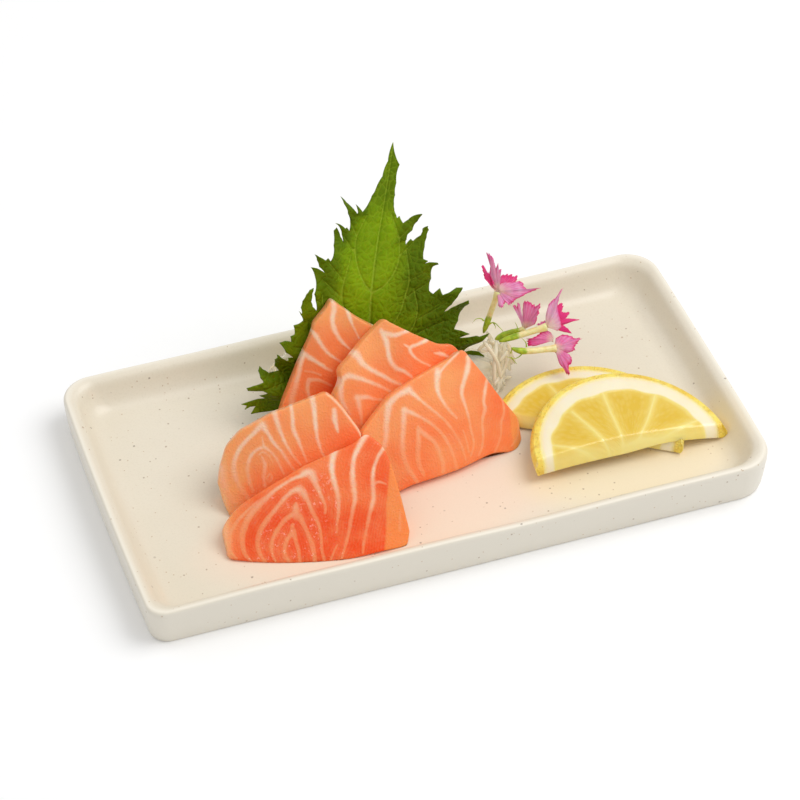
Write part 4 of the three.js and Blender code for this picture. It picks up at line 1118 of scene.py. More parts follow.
def soft_least(first, second, blend):
    """The lesser of two distances, rounded where they are nearly equal."""
    share = np.clip(0.5 + 0.5 * (second - first) / blend, 0, 1)
    return second * (1 - share) + first * share - blend * share * (1 - share)


def rest_on(piece, below, clear):
    """Lifts what would sink into the piece below until it lies on top of it."""
    points = points_of(piece)
    tree = BVHTree.FromObject(below, bpy.context.evaluated_depsgraph_get())
    for i, point in enumerate(points):
        point = Vector(point)
        if tree.find_nearest(point, TOUCH_REACH * MM)[0] is not None and is_inside(point, tree):
            top = tree.ray_cast(point, Vector((0, 0, 1)))[0]
            if top is not None:
                points[i, 2] = top.z + clear * MM
    move_points(piece, points)


def cut_lemon(half):
    along, inward, normal = lemon_axes(half)
    edge = LEMON_EDGE / LEMON_THICK
    piece = unit_block(half["name"] + "_fruit", LEMON_COLUMNS, LEMON_ROWS, [0, edge, 0.5, 1 - edge, 1])
    block = points_of(piece)
    u, v, layer = block[:, 0] + 0.5, block[:, 1] + 0.5, -block[:, 2]
    v = v ** 0.8
    on_face = (layer < 0.001) | (layer > 0.999)
    swell = np.where(np.abs(layer - 0.5) < 0.01, ZEST_BULGE * v, 0)
    reach = half["radius"] - np.where(on_face, LEMON_EDGE, 0) + swell
    angle = np.pi * (1 - u)
    x = reach * np.cos(angle)
    share = x / half["radius"]
    y = reach * np.sin(angle) * v
    y += (1 - v) * CUT_SLOPE * (1 - 0.35 * share ** 2) * np.clip(1 - layer, 0, 1) ** CUT_ROUND
    end_sag, middle_sag = half["sag"]
    sag = (end_sag * (1 - share) / 2 + middle_sag * (1 - share ** 2)) * layer * (1 - v) ** 2
    sag *= np.clip((SAG_TO - share) / SAG_FADE, 0, 1)
    offset = LEMON_THICK * (0.5 - layer) - sag - half["tip"] * share + half["crown"] * (1 - share ** 2)
    centre = np.array(half["place"])
    shaped = centre + x[:, None] * along + y[:, None] * inward + offset[:, None] * normal
    move_points(piece, shaped * MM)
    apply_modifier(piece, "SUBSURF", levels=3, render_levels=3)

    points = points_of(piece) / MM - centre
    x, y = points @ along, points @ inward
    share = x / half["radius"]
    middle = half["crown"] * (1 - share ** 2) - half["tip"] * share
    layer = 0.5 - (points @ normal - middle) / LEMON_THICK
    out = np.hypot(x, y)
    turn = np.arctan2(y + 1.0, x + 0.8)
    waver = 0.3 * np.sin(turn * 9 + half["seed"]) + 0.22 * np.sin(turn * 17)
    right, crown, left = half["pith"]
    pith = np.interp(turn, [0, np.pi / 2, np.pi], [right, crown, left])
    pith_gap = half["radius"] - pith + waver - out
    inside = pith_gap.copy()
    flat = np.stack([x, y], axis=1)
    for skin in half["skins"]:
        line = smooth_line([(*spot, SKIN_WIDTH) for spot in skin], np.linspace(0, 1, 12))
        inside = soft_least(inside, line_gap(flat, line), WEDGE_ROUND)
    core_x, core_reach = half["core"]
    core = (np.hypot((x - core_x) / core_reach, (y + 0.3) / CORE_DEEP) - 1) * CORE_DEEP
    inside = soft_least(inside, core, CORE_ROUND)
    on_face = 1 - np.clip((0.5 - np.abs(layer - 0.5)) / 0.12, 0, 1)
    sunk = WEDGE_SINK * np.clip(inside / 0.9, 0, 1) * on_face * np.sign(0.5 - layer)
    sunk *= np.clip(y / 4, 0, 1)
    move_points(piece, (points - sunk[:, None] * normal + centre) * MM)
    add_attribute(piece, "pulp", inside)
    add_attribute(piece, "outward", half["radius"] - out)
    add_attribute(piece, "pith_gap", pith_gap)
    add_attribute(piece, "turn", turn * 34)
    add_attribute(piece, "run", out)
    add_attribute(piece, "cut", np.clip((CUT_SLOPE - y) / CUT_BAND, 0, 1))
    stand_clear(piece, slices_laid + [bpy.data.objects["tray"]], TOUCH_CLEAR)
    for below in halves_laid:
        rest_on(piece, below, TOUCH_CLEAR)
    halves_laid.append(piece)
    return piece


fruit = Finish("lemon_fruit", Roughness=0.3, Subsurface_Weight=0.35, Subsurface_Scale=0.003,
               Coat_Weight=0.25, Coat_Roughness=0.15)
fruit.shader.inputs["Subsurface Radius"].default_value = (1.0, 0.85, 0.4)
place = fruit.object_place()
pulp = fruit.attribute("pulp")
outward = fruit.attribute("outward")
cells_at = fruit.node("ShaderNodeCombineXYZ", {}, {0: fruit.attribute("turn") * 0.35,
                                                   1: fruit.attribute("run") * 0.28})
cells = fruit.node("ShaderNodeTexVoronoi", {"feature": "SMOOTH_F1"},
                   {"Vector": cells_at, "Scale": 1.35, "Smoothness": 0.6}, "Distance")
cloud = fruit.noise(110, 3, place)
broad = fruit.noise(46, 2, place)
deep = pulp + (broad - 0.5) * 3.0
juice = fruit.blend(deep.smooth(0.0, 1.8), paint(244, 222, 124), paint(234, 200, 78))
juice = fruit.blend(deep.smooth(1.6, 4.2) * 0.8, juice, paint(228, 188, 46))
juice = fruit.blend(cells.smooth(0.7, 0.15) * 0.14, juice, paint(250, 234, 150))
pith = fruit.blend(cloud.smooth(0.3, 0.7), paint(253, 238, 212), paint(251, 230, 192))
pith = fruit.blend((outward - 4.2 + (cloud - 0.5) * 2).smooth(-1.2, 1.2) * 0.5, pith, paint(254, 244, 208))
juice = fruit.blend(pulp.smooth(0.3, -0.1) * 0.6, juice, paint(249, 232, 160))
juice = fruit.blend(fruit.attribute("cut") * (0.45 + broad * 0.4), juice, paint(253, 234, 146))
inner = fruit.blend(fruit.attribute("pith_gap").smooth(-0.5, 0.6), pith, juice)
zest_noise = fruit.noise(900, 2, place)
zest = fruit.blend(cloud.smooth(0.3, 0.7), paint(255, 232, 112), paint(249, 211, 76))
zest = fruit.blend(fruit.noise(330, 3, place).smooth(0.48, 0.72) * 0.6, zest, paint(226, 182, 66))
rind = (outward + (zest_noise - 0.5) * 0.9).smooth(ZEST_DEPTH, ZEST_DEPTH - 1.1)
zest_edge = (outward + (cloud - 0.5) * 0.8).smooth(ZEST_DEPTH + 1.0, ZEST_DEPTH - 0.4)
inner = fruit.blend(zest_edge * 0.6, inner, paint(254, 236, 146))
oil = fruit.specks(1150, place)
pits = oil.smooth(0.05, 0.45) * rind
wet = fruit.noise(1300, 2, place)
relief = pits * 1.1 + (cells.smooth(0.75, 0.1) * 0.25 + wet * 0.3) * pulp.smooth(0.0, 0.6)
fruit.set(Base_Color=fruit.blend(rind, inner, zest), Roughness=0.24 + rind * 0.16,
          Normal=fruit.bump(relief, 0.0004, 0.7))

halves_laid = []
for half in LEMONS:
    piece = cut_lemon(half)
    # The half was turned inside out as it was shaped, so its faces are turned back.
    in_edit_mode(piece, face_out, lambda: cut_at_floor((TRAY_FLOOR + FLOOR_CLEAR) * MM))
    shade_smooth(piece)
    fruit.put_on(piece)
    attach(piece, "root")
    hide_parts(half["name"])


# ---------------------------------------------------------------- dianthus flowers
# Four small pink dianthus flowers lie in the daikon beside the leaf. Each is a
# green calyx with fine curled tips, a pale tube and a few thin ragged petals.

# The flowers are measured across and up their open side, towards the front left.
BLOOM_TURN = math.radians(-19)
BLOOM_LEAN = math.radians(43)
PETAL_THICK = 0.22
PETAL_ROWS = 8
PETAL_SPLIT = 3
CLAW_WIDTH = 0.9
FRINGE = 0.8
STALK_SIDES = 14
STALK_STEPS = 28
TIP_RADIUS = 0.17
TIP_SIDES = 7
TIP_STEPS = 14
TIP_RISE = 0.25
ALL_GREEN = 2.0

# radii are the stalk's at shares of its length, and green is the share that is calyx.
# A petal's outline runs from one side of its claw to the other, in mm from the
# flower's mouth. lean tips it to the open side, cup bows it, and deep reddens its two
# faces. curls are the calyx's free tips.
FLOWERS = [
    dict(name="flower_1", foot=(32, 24, 21), neck=(33.8, 24.6, 26), mouth=(37.2, 25.6, 35.5),
         radii=[(0, 0.3), (0.1, 0.8), (0.3, 1.05), (0.42, 0.92), (0.8, 0.95), (1, 1.25)], green=0.4,
         petals=[
             dict(lean=0.75, cup=0.5, deep=(0.25, 0.7),
                  edge=[(-2.2, 1.6), (-2.5, 4), (-2.9, 5.7), (-2.6, 8.2), (-3.1, 10), (-4.1, 12.1),
                        (-3.2, 11.9), (-1.8, 10.3), (-1.3, 8.7), (-0.9, 7.1), (-0.2, 8.9), (0.1, 6.8),
                        (0.9, 6.9), (0.7, 5.2), (0.1, 3.4), (-0.2, 1.2)]),
             dict(lean=1.1, cup=-0.4, deep=(0.95, 0.5),
                  edge=[(-2.1, 1.2), (-3.5, 2.9), (-4.5, 3.9), (-5, 5.7), (-5.6, 7.6), (-5, 8.2),
                        (-4.9, 6.6), (-4.2, 5.8), (-3.2, 5.9), (-2.6, 4.7), (-2.2, 3.1), (-1.6, 1.6)]),
             dict(lean=-0.55, cup=0.5, deep=(0.75, 0.4),
                  edge=[(0.1, 2.1), (0.6, 4.2), (1.1, 5.2), (1.8, 5.8), (2.4, 5.4), (3.1, 6), (3.7, 5.5),
                        (4.4, 5.8), (5.2, 5.1), (6.4, 5.5), (6.2, 3.9), (5.9, 2.9), (4.2, 2.6),
                        (2.3, 2.1)]),
             dict(lean=-0.1, cup=0.6, deep=(0.3, 0.8),
                  edge=[(-0.2, 1.6), (1, 2.6), (2.6, 3.1), (4.8, 3), (6.8, 3.4), (8.3, 2.5), (8, 1.9),
                        (9, 0.9), (10.5, 0.4), (11.7, 1.1), (13.8, 1.2), (11.1, 0.1), (9.3, -0.5),
                        (7.4, -1.7), (5.6, -2.4), (3.9, -2.2), (1.6, -1.7)]),
             dict(lean=0.5, cup=0.5, deep=(0.35, 0.8),
                  edge=[(-0.2, -0.5), (0, -3), (0, -4.6), (0.7, -5.5), (1.5, -5.2), (1.7, -4.2),
                        (2.7, -3.7), (3.2, -4.4), (3.9, -4.5), (4.4, -3.8), (5.6, -2.7), (3.9, -1.7),
                        (1.6, -0.5)]),
         ],
         curls=[[(-4.4, -9.1), (-5, -8.5), (-5.9, -8.3), (-7, -8.6), (-7.7, -9.4)],
                [(-2.9, -10.4), (-1.9, -9.7), (-0.8, -9.8), (0.5, -11.1), (1.5, -12.2), (2, -13.8)],
                [(-1.3, -9.7), (-0.7, -10.9), (-0.8, -11.5)]]),
    dict(name="flower_2", foot=(36, 24, 17), neck=(40, 22.5, 19.5), mouth=(44.6, 20.6, 22),
         radii=[(0, 0.3), (0.1, 0.9), (0.3, 1.3), (0.6, 1.1), (0.85, 0.75), (1, 1)], green=0.86,
         petals=[
             dict(lean=0.55, cup=0.7, deep=(0.4, 0.75),
                  edge=[(0, 1.3), (-0.7, 3.5), (-0.8, 5.8), (-0.5, 8.9), (0.7, 8.7), (2.5, 7.8), (3.9, 7.3),
                        (4.7, 8), (5.1, 6.9), (4.2, 6), (4.6, 4.8), (3.9, 3.8), (3.8, 2.5), (3.2, 1.3)]),
             dict(lean=0.7, cup=0.3, deep=(0.3, 0.6),
                  edge=[(-0.7, 0.3), (-1.3, 2.2), (-2.2, 4.3), (-3, 6.3), (-4, 7.1), (-3.5, 7.6),
                        (-2.6, 7.1), (-2.5, 8.2), (-1.8, 8), (-1.6, 5.4), (-0.9, 3.2), (-0.2, 1.7)]),
         ],
         curls=[[(-2.9, -1.2), (-2.2, -0.1), (-2.5, 1.2), (-3, 2)],
                [(-4.2, -2), (-2.2, -0.4), (-0.9, 0.4)]]),
    dict(name="flower_3", foot=(35, 18, 21.5), neck=(42.6, 17.6, 22.6), mouth=(50.6, 17, 24),
         radii=[(0, 0.3), (0.1, 0.75), (0.3, 1.0), (0.45, 1.0), (0.8, 1.05), (1, 1.35)], green=0.42,
         petals=[
             dict(lean=0.15, cup=0.6, deep=(0.15, 0.9),
                  edge=[(0.5, -0.8), (-0.2, 1.7), (-0.3, 3.6), (0.1, 5.2), (0.6, 7.1), (1.8, 8.5),
                        (3.2, 9.7), (4.4, 11.7), (5.3, 12.6), (3.9, 9.9), (3.8, 8.4), (3.4, 6.5),
                        (3.8, 3.9), (4.4, 1.7), (4.7, 0), (3.4, -1.3)]),
             dict(lean=-0.3, cup=0.7, deep=(1, 0.4),
                  edge=[(2, 0), (2.4, 2.9), (2.6, 5.2), (3.4, 6.8), (4.3, 7.5), (5.2, 7.9), (5.6, 6.8),
                        (4.9, 4.9), (6.1, 4.7), (7.3, 4.9), (7.5, 4.2), (6.3, 2.8), (9.2, 2.6),
                        (11.3, 2.4), (8.9, 1.9), (5.4, 0.6), (7, -0.5), (8.3, -2.1), (6, -1.7),
                        (3.4, -0.9)]),
             dict(lean=-0.9, cup=0.4, deep=(0.45, 0.7),
                  edge=[(-0.4, -0.6), (-1.9, 0.5), (-3.2, 0.7), (-2.5, 1.5), (-0.4, 2.2), (0, 0.7)]),
         ],
         curls=[]),
    dict(name="flower_4", foot=(37.6, 13.6, 21.6), neck=(42.2, 13.4, 19.2), mouth=(52.2, 12.6, 18.2),
         radii=[(0, 0.3), (0.1, 0.75), (0.25, 1.1), (0.4, 1.0), (0.85, 1.0), (1, 1.3)], green=0.36,
         petals=[
             dict(lean=-0.25, cup=0.7, deep=(0.4, 0.8),
                  edge=[(-0.3, 1), (0.1, 3.2), (2.2, 4.4), (4.7, 4.2), (6.6, 3.1), (7.7, 3.5), (8.8, 3.1),
                        (7.6, 2.6), (7.3, 1.6), (6, 0.3), (6.4, -0.6), (5.1, -1.2), (3.3, -1.6),
                        (0.5, -0.8)]),
             dict(lean=-0.1, cup=0.6, deep=(0.45, 0.8),
                  edge=[(-0.8, -0.7), (0.2, -1.8), (0.8, -3.9), (1.3, -5.2), (2.7, -6.7), (3.5, -8.4),
                        (4.3, -8.8), (4.6, -8.1), (4.2, -6.5), (5.3, -4.3), (5.1, -2.9), (4.4, -1.9),
                        (2.2, -1)]),
             dict(lean=0.1, cup=0.8, deep=(0.55, 0.9), root=(-0.7, 2.6),
                  edge=[(-0.7, 1.9), (-1.4, 2.2), (-4.3, 1.8), (-6.6, 0.6), (-8.8, 0.6), (-9.2, 1.8),
                        (-9.4, 3), (-7.5, 3.2), (-5.9, 4.2), (-4.6, 5.2), (-2.9, 5.7), (-1.5, 5),
                        (-0.5, 3.6)]),
         ],
         curls=[[(-9.3, 0.3), (-9.5, 1.6), (-10.1, 2.4), (-10.9, 3.1)],
                [(-9.5, -0.5), (-10.4, -0.1), (-11.1, -0.2), (-12.5, -0.4), (-13.5, -1.1)],
                [(-10.4, -0.8), (-10.6, -1.6), (-11.9, -2.9), (-13.5, -3.3), (-15.9, -2.7)],
                [(-14.3, -2.9), (-13.2, -4.2), (-12.3, -5.1)],
                [(-14.3, -1.7), (-14, -0.5), (-13.3, 0.4)]]),
]

bloom_open = np.array([math.sin(BLOOM_TURN) * math.cos(BLOOM_LEAN),
                       -math.cos(BLOOM_TURN) * math.cos(BLOOM_LEAN), math.sin(BLOOM_LEAN)])
bloom_across = np.array([math.cos(BLOOM_TURN), math.sin(BLOOM_TURN), 0])
bloom_up = np.cross(bloom_open, bloom_across)


def rolled_tube(name, path, radii, sides, steps):
    """A closed tube along a path, its radius given at shares of its length."""
    bpy.ops.mesh.primitive_grid_add(x_subdivisions=sides, y_subdivisions=steps, size=1)
    piece = start_piece(name)
    grid = points_of(piece)
    share = grid[:, 1] + 0.5
    angle = 2 * np.pi * grid[:, 0]
    fine = smooth_line(path, np.linspace(0, 1, 4 * steps))
    even = np.linspace(0, 1, len(fine))
    centre = np.stack([np.interp(share, even, fine[:, k]) for k in range(3)], axis=1)
    forward = np.gradient(fine, axis=0)
    forward = forward / np.linalg.norm(forward, axis=1, keepdims=True)
    aside = np.cross(forward[0], [0.3, 0.2, 1.0])
    sides_along = []
    for step in forward:
        aside = aside - step * (aside @ step)
        aside = aside / np.linalg.norm(aside)
        sides_along.append(aside)
    sides_along = np.array(sides_along)
    nearest = np.clip(np.round(share * (len(fine) - 1)).astype(int), 0, len(fine) - 1)
    first = sides_along[nearest]
    second = np.cross(forward[nearest], first)
    radius = np.interp(share, [at for at, _ in radii], [wide for _, wide in radii])
    ring = radius[:, None] * (np.cos(angle)[:, None] * first + np.sin(angle)[:, None] * second)
    move_points(piece, (centre + ring) * MM)
    add_attribute(piece, "along", share)
    in_edit_mode(piece, lambda: bpy.ops.mesh.remove_doubles(threshold=1e-6),
                 lambda: bpy.ops.mesh.fill_holes(sides=0), merge_and_face_out)
    return piece


def cut_petal(name, mouth, petal):
    edge = np.array(petal["edge"], dtype=float)
    columns = PETAL_SPLIT * (len(edge) - 1)
    piece = unit_block(name, columns, PETAL_ROWS, [0, 1])
    block = points_of(piece)
    u, v = block[:, 0] + 0.5, block[:, 1] + 0.5
    at = u * (len(edge) - 1)
    margin = np.stack([np.interp(at, np.arange(len(edge)), edge[:, k]) for k in (0, 1)], axis=1)
    start = np.array(petal.get("root", (0, 0)), dtype=float)
    sideways = edge[-1] - edge[0]
    sideways = sideways / np.linalg.norm(sideways)
    claw = start + sideways * CLAW_WIDTH * (u - 0.5)[:, None]
    longest = np.linalg.norm(edge - start, axis=1).max()
    column = np.round(u * columns).astype(int)
    outer = np.clip(2 * np.linalg.norm(margin - start, axis=1) / longest - 0.8, 0, 1)
    torn = FRINGE * outer * (column % 2) * (0.6 + 0.4 * np.sin(column * 2.3))
    margin = margin - torn[:, None] * (margin - start) / np.linalg.norm(margin - start, axis=1)[:, None]
    flat = claw + (margin - claw) * v[:, None]
    run = np.linalg.norm(flat - start, axis=1)
    fold = (2 * u - 1) ** 2
    depth = petal["lean"] * run - petal["cup"] * fold * v * 1.6
    depth += 0.35 * np.sin(at * 2.1) * (run / longest) ** 2 + petal["cup"] * np.sin(np.pi * run / longest)
    depth += PETAL_THICK * (0.5 + block[:, 2])
    shaped = (np.array(mouth) + flat[:, :1] * bloom_across + flat[:, 1:] * bloom_up
              + depth[:, None] * bloom_open)
    move_points(piece, shaped * MM)
    front, rear = petal["deep"]
    add_attribute(piece, "deep", np.where(block[:, 2] > -0.5, front, rear))
    add_attribute(piece, "fan", at)
    add_attribute(piece, "reach", run / longest)
    add_attribute(piece, "frill", v)
    in_edit_mode(piece, merge_and_face_out)
    return piece


silk = Finish("dianthus_petal", Roughness=0.55, Subsurface_Weight=0.2, Subsurface_Scale=0.0008,
              Sheen_Weight=0.25)
deep = silk.attribute("deep")
fan = silk.attribute("fan")
reach = silk.attribute("reach")
frill = silk.attribute("frill")
cloud = silk.noise(420, 2, silk.object_place())
vein = (fan * 9.0).sine() * 0.5 + 0.5
redness = deep + (cloud - 0.5) * 0.5 + (vein - 0.5) * 0.16 + frill.smooth(0.8, 1.0) * 0.42 - 0.1
petal_tone = silk.blend(redness.smooth(0.2, 0.85), paint(230, 128, 182), paint(222, 4, 114))
petal_tone = silk.blend(redness.smooth(0.0, 0.35), paint(238, 176, 208), petal_tone)
throat = (reach + (cloud - 0.5) * 0.2).smooth(0.38, 0.02)
petal_tone = silk.blend(throat * 0.8, petal_tone, paint(240, 212, 186))
silk.set(Base_Color=petal_tone, Normal=silk.bump(vein * 0.5 + cloud * 0.5, 0.0002, 0.6))

stem = Finish("dianthus_stalk", Roughness=0.42, Subsurface_Weight=0.25, Subsurface_Scale=0.001)
along = stem.attribute("along")
green_to = stem.attribute("green_to")
place = stem.object_place()
streak = stem.noise(700, 2, place)
calyx = stem.blend(streak.smooth(0.3, 0.7), paint(138, 168, 16), paint(182, 204, 48))
tube = stem.blend(streak.smooth(0.3, 0.7), paint(236, 222, 146), paint(246, 236, 176))
stem.set(Base_Color=stem.blend((along - green_to + (streak - 0.5) * 0.12).smooth(-0.05, 0.05), calyx, tube),
         Normal=stem.bump(streak, 0.0002, 0.5))

for bloom in FLOWERS:
    parts = []
    stalk = rolled_tube("stalk", [bloom["foot"], bloom["neck"], bloom["mouth"]], bloom["radii"],
                        STALK_SIDES, STALK_STEPS)
    add_attribute(stalk, "green_to", np.full(len(stalk.data.vertices), bloom["green"]))
    stem.put_on(stalk)
    parts.append(stalk)
    neck_depth = (np.array(bloom["neck"]) - np.array(bloom["mouth"])) @ bloom_open
    for curl in bloom["curls"]:
        path = [np.array(bloom["mouth"]) + x * bloom_across + y * bloom_up
                + (neck_depth + TIP_RISE * i) * bloom_open for i, (x, y) in enumerate(curl)]
        tip = rolled_tube("calyx_tip", path, [(0, 0.3), (0.3, TIP_RADIUS), (1, 0.06)],
                          TIP_SIDES, TIP_STEPS)
        add_attribute(tip, "green_to", np.full(len(tip.data.vertices), ALL_GREEN))
        stem.put_on(tip)
        parts.append(tip)
    for petal in bloom["petals"]:
        part = cut_petal("petal", bloom["mouth"], petal)
        silk.put_on(part)
        parts.append(part)
    piece = join_pieces(bloom["name"] + "_bloom", parts)
    shade_smooth(piece)
    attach(piece, "root")
    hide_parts(bloom["name"])


# ---------------------------------------------------------------- daikon shreds
# A bed of raw daikon cut into fine wet shreds props the fish and the leaf. The
# shreds lie tangled over one another, and each stops short of its neighbours.

# The heap is a few round mounds, each with its middle and its reach three ways, and
# to the right it falls away. MOUND_COVER is each one's share of shreds for its size.
MOUNDS = [((-6, 34, 4.8), (33, 9.5, 24)), ((-10, 16, 4.8), (32, 14, 13)),
          ((27, 21, 4.8), (11.5, 12.5, 14)), ((-38, 3, 4.8), (19, 12, 14))]
MOUND_COVER = (1, 1, 3, 1)
SHRED = 1.4
SHRED_SIDES = 6
SHRED_STEPS = 18
SHRED_COUNT = 820
SHRED_CLEAR = 0.35
SHORTEST = 5
SHORTEST_LOOSE = 4
NEAR_REACH = 5.0
HEAP_SPREAD = 1.08
CORE_SHRINK = 1.25
LOBE_FROM = 13.0
LOBE_TO = 23.0
LOBE_DROP = 0.52
CORE_VOXEL = 1.3


def mound_top(x, y):
    top = np.full(np.shape(x), TRAY_FLOOR + SHRED / 2)
    for (cx, cy, cz), (rx, ry, rz) in MOUNDS:
        inside = 1 - ((x - cx) / rx) ** 2 - ((y - cy) / ry) ** 2
        top = np.maximum(top, cz + rz * np.sqrt(np.maximum(inside, 0)))
    return top - (top - TRAY_FLOOR) * LOBE_DROP * np.clip((x - LOBE_FROM) / (LOBE_TO - LOBE_FROM), 0, 1)


def mound_edge(x, y):
    """How far out on the nearest mound a place is: 1 at its foot."""
    return min(math.hypot((x - cx) / rx, (y - cy) / ry) for (cx, cy, _), (rx, ry, _) in MOUNDS)


def neighbour_trees():
    trees = []
    depsgraph = bpy.context.evaluated_depsgraph_get()
    for piece in bpy.data.objects:
        if piece.type == "MESH" and not piece.hide_render and piece.name != "daikon_shreds":
            trees.append(BVHTree.FromObject(piece, depsgraph))
    return trees


def is_free(point, trees, clear):
    """Whether a point lies outside every neighbour and no nearer than the gap."""
    spot = Vector(point) * MM
    for tree in trees:
        hit, _, _, distance = tree.find_nearest(spot, NEAR_REACH * MM)
        if hit is not None and (distance < clear * MM or is_inside(spot, tree)):
            return False
    return True


def lay_shred(stream):
    """The path of one shred: a wandering line on the heap, from a random place."""
    weights = np.array([r[0] * r[1] for _, r in MOUNDS]) * MOUND_COVER
    (cx, cy, _), (rx, ry, _) = MOUNDS[stream.choice(len(MOUNDS), p=weights / weights.sum())]
    turn, out = stream.uniform(0, 2 * np.pi), math.sqrt(stream.uniform(0, 1.1))
    x, y = cx + rx * out * math.cos(turn), cy + ry * out * math.sin(turn)
    heading = stream.uniform(0, 2 * np.pi)
    length = stream.uniform(14, 36)
    bend = stream.normal(0, 0.09)
    wobble, beat, phase = stream.uniform(0.1, 0.35), stream.uniform(0.2, 0.5), stream.uniform(0, 6)
    sink = stream.uniform(0.2, 1.4)
    path = []
    step = length / (SHRED_STEPS - 1)
    for i in range(SHRED_STEPS):
        run = i * step
        aim = heading + bend * run + wobble * math.sin(beat * run + phase)
        x, y = x + step * math.cos(aim), y + step * math.sin(aim)
        if mound_edge(x, y) > HEAP_SPREAD:
            break
        lift = 0.5 * math.sin(beat * 1.7 * run + phase * 2)
        floor = TRAY_FLOOR + SHRED / 2 + 0.25
        path.append((x, y, max(floor, float(mound_top(x, y)) - sink + lift)))
    return np.array(path).reshape(-1, 3)


# Shreds that stand free at the heap's right end, where they show between the flowers.
LOOSE_SHREDS = [
    [(42.1, 16.9, 24.3), (40.6, 16.3, 22.4), (38.4, 15.8, 20.4), (36.3, 15.3, 18.2), (34.3, 14.8, 15.9)],
    [(33.2, 26, 20.6), (35.2, 24, 17.2), (36.4, 22, 14.4), (37, 20.4, 11.4), (37.4, 19, 8)],
    [(36, 23.5, 21.6), (36.8, 22.6, 18), (37.6, 21.4, 14.4), (38.6, 20, 10.6), (39.4, 19, 7)],
    [(34.6, 23, 22), (36.4, 21.6, 20.4), (38.6, 20.6, 17.6), (39.8, 19.6, 14), (39.6, 18.4, 10)],
    [(38.9, 22.4, 19.6), (38, 20.4, 17.8), (36.8, 18.6, 15.4), (35.8, 17, 12.4), (35.2, 15.6, 9.2)],
    [(33.6, 24.4, 17.4), (35.6, 22.4, 15.6), (37.8, 20.8, 14.8), (39.9, 19.8, 12.6), (41, 19.2, 9.4)],
    [(36.8, 16.2, 18.6), (36.6, 14.6, 15.6), (35.2, 13.6, 13), (33.2, 12.4, 11.4), (31, 10.6, 10.6)],
    [(34.8, 19.6, 20.4), (33.4, 16.6, 18.4), (32.2, 14.2, 15.6), (31.6, 12.6, 12.6), (31.4, 11.2, 9)],
    [(30.4, 19.6, 21.6), (31.4, 17, 20.2), (32.6, 15, 18), (33.4, 13.6, 15), (33.6, 12, 11.4)],
    [(33, 25, 21), (34.4, 24, 18), (35.4, 22.6, 14.4), (36, 21, 11), (36, 19.6, 7.6)],
    [(30.2, 24, 14), (32.4, 23.6, 16.2), (34.8, 23.2, 17.8), (37, 22.6, 18.2), (38.6, 21.8, 17)],
    [(30, 21.6, 15.6), (32.4, 20.4, 16.6), (35, 19.6, 16.4), (37.2, 19, 14.6), (38.2, 18.4, 11.4)],
    [(35.6, 20, 17.4), (36, 18.8, 14), (35.6, 17.4, 10.4), (34.4, 16, 7.6), (32.6, 14.6, 6.2)],
    [(38, 23.6, 15.4), (37.6, 21.4, 12.6), (37.2, 19.6, 9.4), (36.8, 18, 6.8), (36.2, 16, 5.8)],
    [(31.4, 22.6, 19.6), (33.6, 21.2, 19.2), (35.6, 20.4, 17.4), (37.4, 20.6, 14.6), (38.6, 21.4, 11.4)],
    [(32, 17.6, 14.4), (33.6, 16.8, 11.6), (35.2, 16.6, 8.6), (37, 17, 6.2), (39.4, 17.6, 5.6)],
]


def shred_tubes(paths):
    """All the shreds as one mesh, each a slim rod that narrows at both ends."""
    ring_angle = 2 * np.pi * (np.arange(SHRED_SIDES) + 0.5) / SHRED_SIDES
    points, faces, tones = [], [], []
    stream = np.random.default_rng(31)
    for path in paths:
        forward = np.gradient(path, axis=0)
        forward = forward / np.linalg.norm(forward, axis=1, keepdims=True)
        aside = np.cross(forward, [0, 0, 1.0])
        aside = aside / np.maximum(np.linalg.norm(aside, axis=1, keepdims=True), 1e-6)
        upward = np.cross(aside, forward)
        size = SHRED / 2 * stream.uniform(0.8, 1.1)
        taper = np.minimum(1, 0.55 + np.minimum(np.arange(len(path)), np.arange(len(path))[::-1]) * 0.3)
        roll = stream.uniform(0, np.pi)
        tone = stream.uniform(0, 1)
        first = len(points)
        for centre, a, b, wide in zip(path, aside, upward, taper):
            for angle in ring_angle:
                ring = size * wide * (math.cos(angle + roll) * a + math.sin(angle + roll) * b)
                points.append((centre + ring) * MM)
                tones.append(tone)
        for i in range(len(path) - 1):
            for k in range(SHRED_SIDES):
                low, next_k = first + i * SHRED_SIDES, (k + 1) % SHRED_SIDES
                faces.append((low + k, low + next_k, low + SHRED_SIDES + next_k, low + SHRED_SIDES + k))
        faces.append(tuple(first + k for k in reversed(range(SHRED_SIDES))))
        last = first + (len(path) - 1) * SHRED_SIDES
        faces.append(tuple(last + k for k in range(SHRED_SIDES)))
    piece = mesh_piece("daikon_strands", [tuple(point) for point in points], faces)
    add_attribute(piece, "tone", np.array(tones))
    return piece


def clean_run(path, trees):
    """The longest stretch of a path that stays clear of the neighbours."""
    free = [is_free(point, trees, SHRED / 2 + SHRED_CLEAR) for point in path]
    best, start = (0, 0), None
    for i, ok in enumerate(free + [False]):
        if ok and start is None:
            start = i
        if not ok and start is not None:
            if i - start > best[1] - best[0]:
                best = (start, i)
            start = None
    return path[best[0]:best[1]]


trees = neighbour_trees()
stream = np.random.default_rng(23)
paths = []
for _ in range(SHRED_COUNT):
    path = clean_run(lay_shred(stream), trees)
    if len(path) >= SHORTEST:
        paths.append(path)
for line in LOOSE_SHREDS:
    path = clean_run(smooth_line(line, np.linspace(0, 1, SHRED_STEPS)), trees)
    if len(path) >= SHORTEST_LOOSE:
        paths.append(path)
shreds = shred_tubes(paths)
in_edit_mode(shreds, merge_and_face_out)
shade_smooth(shreds)

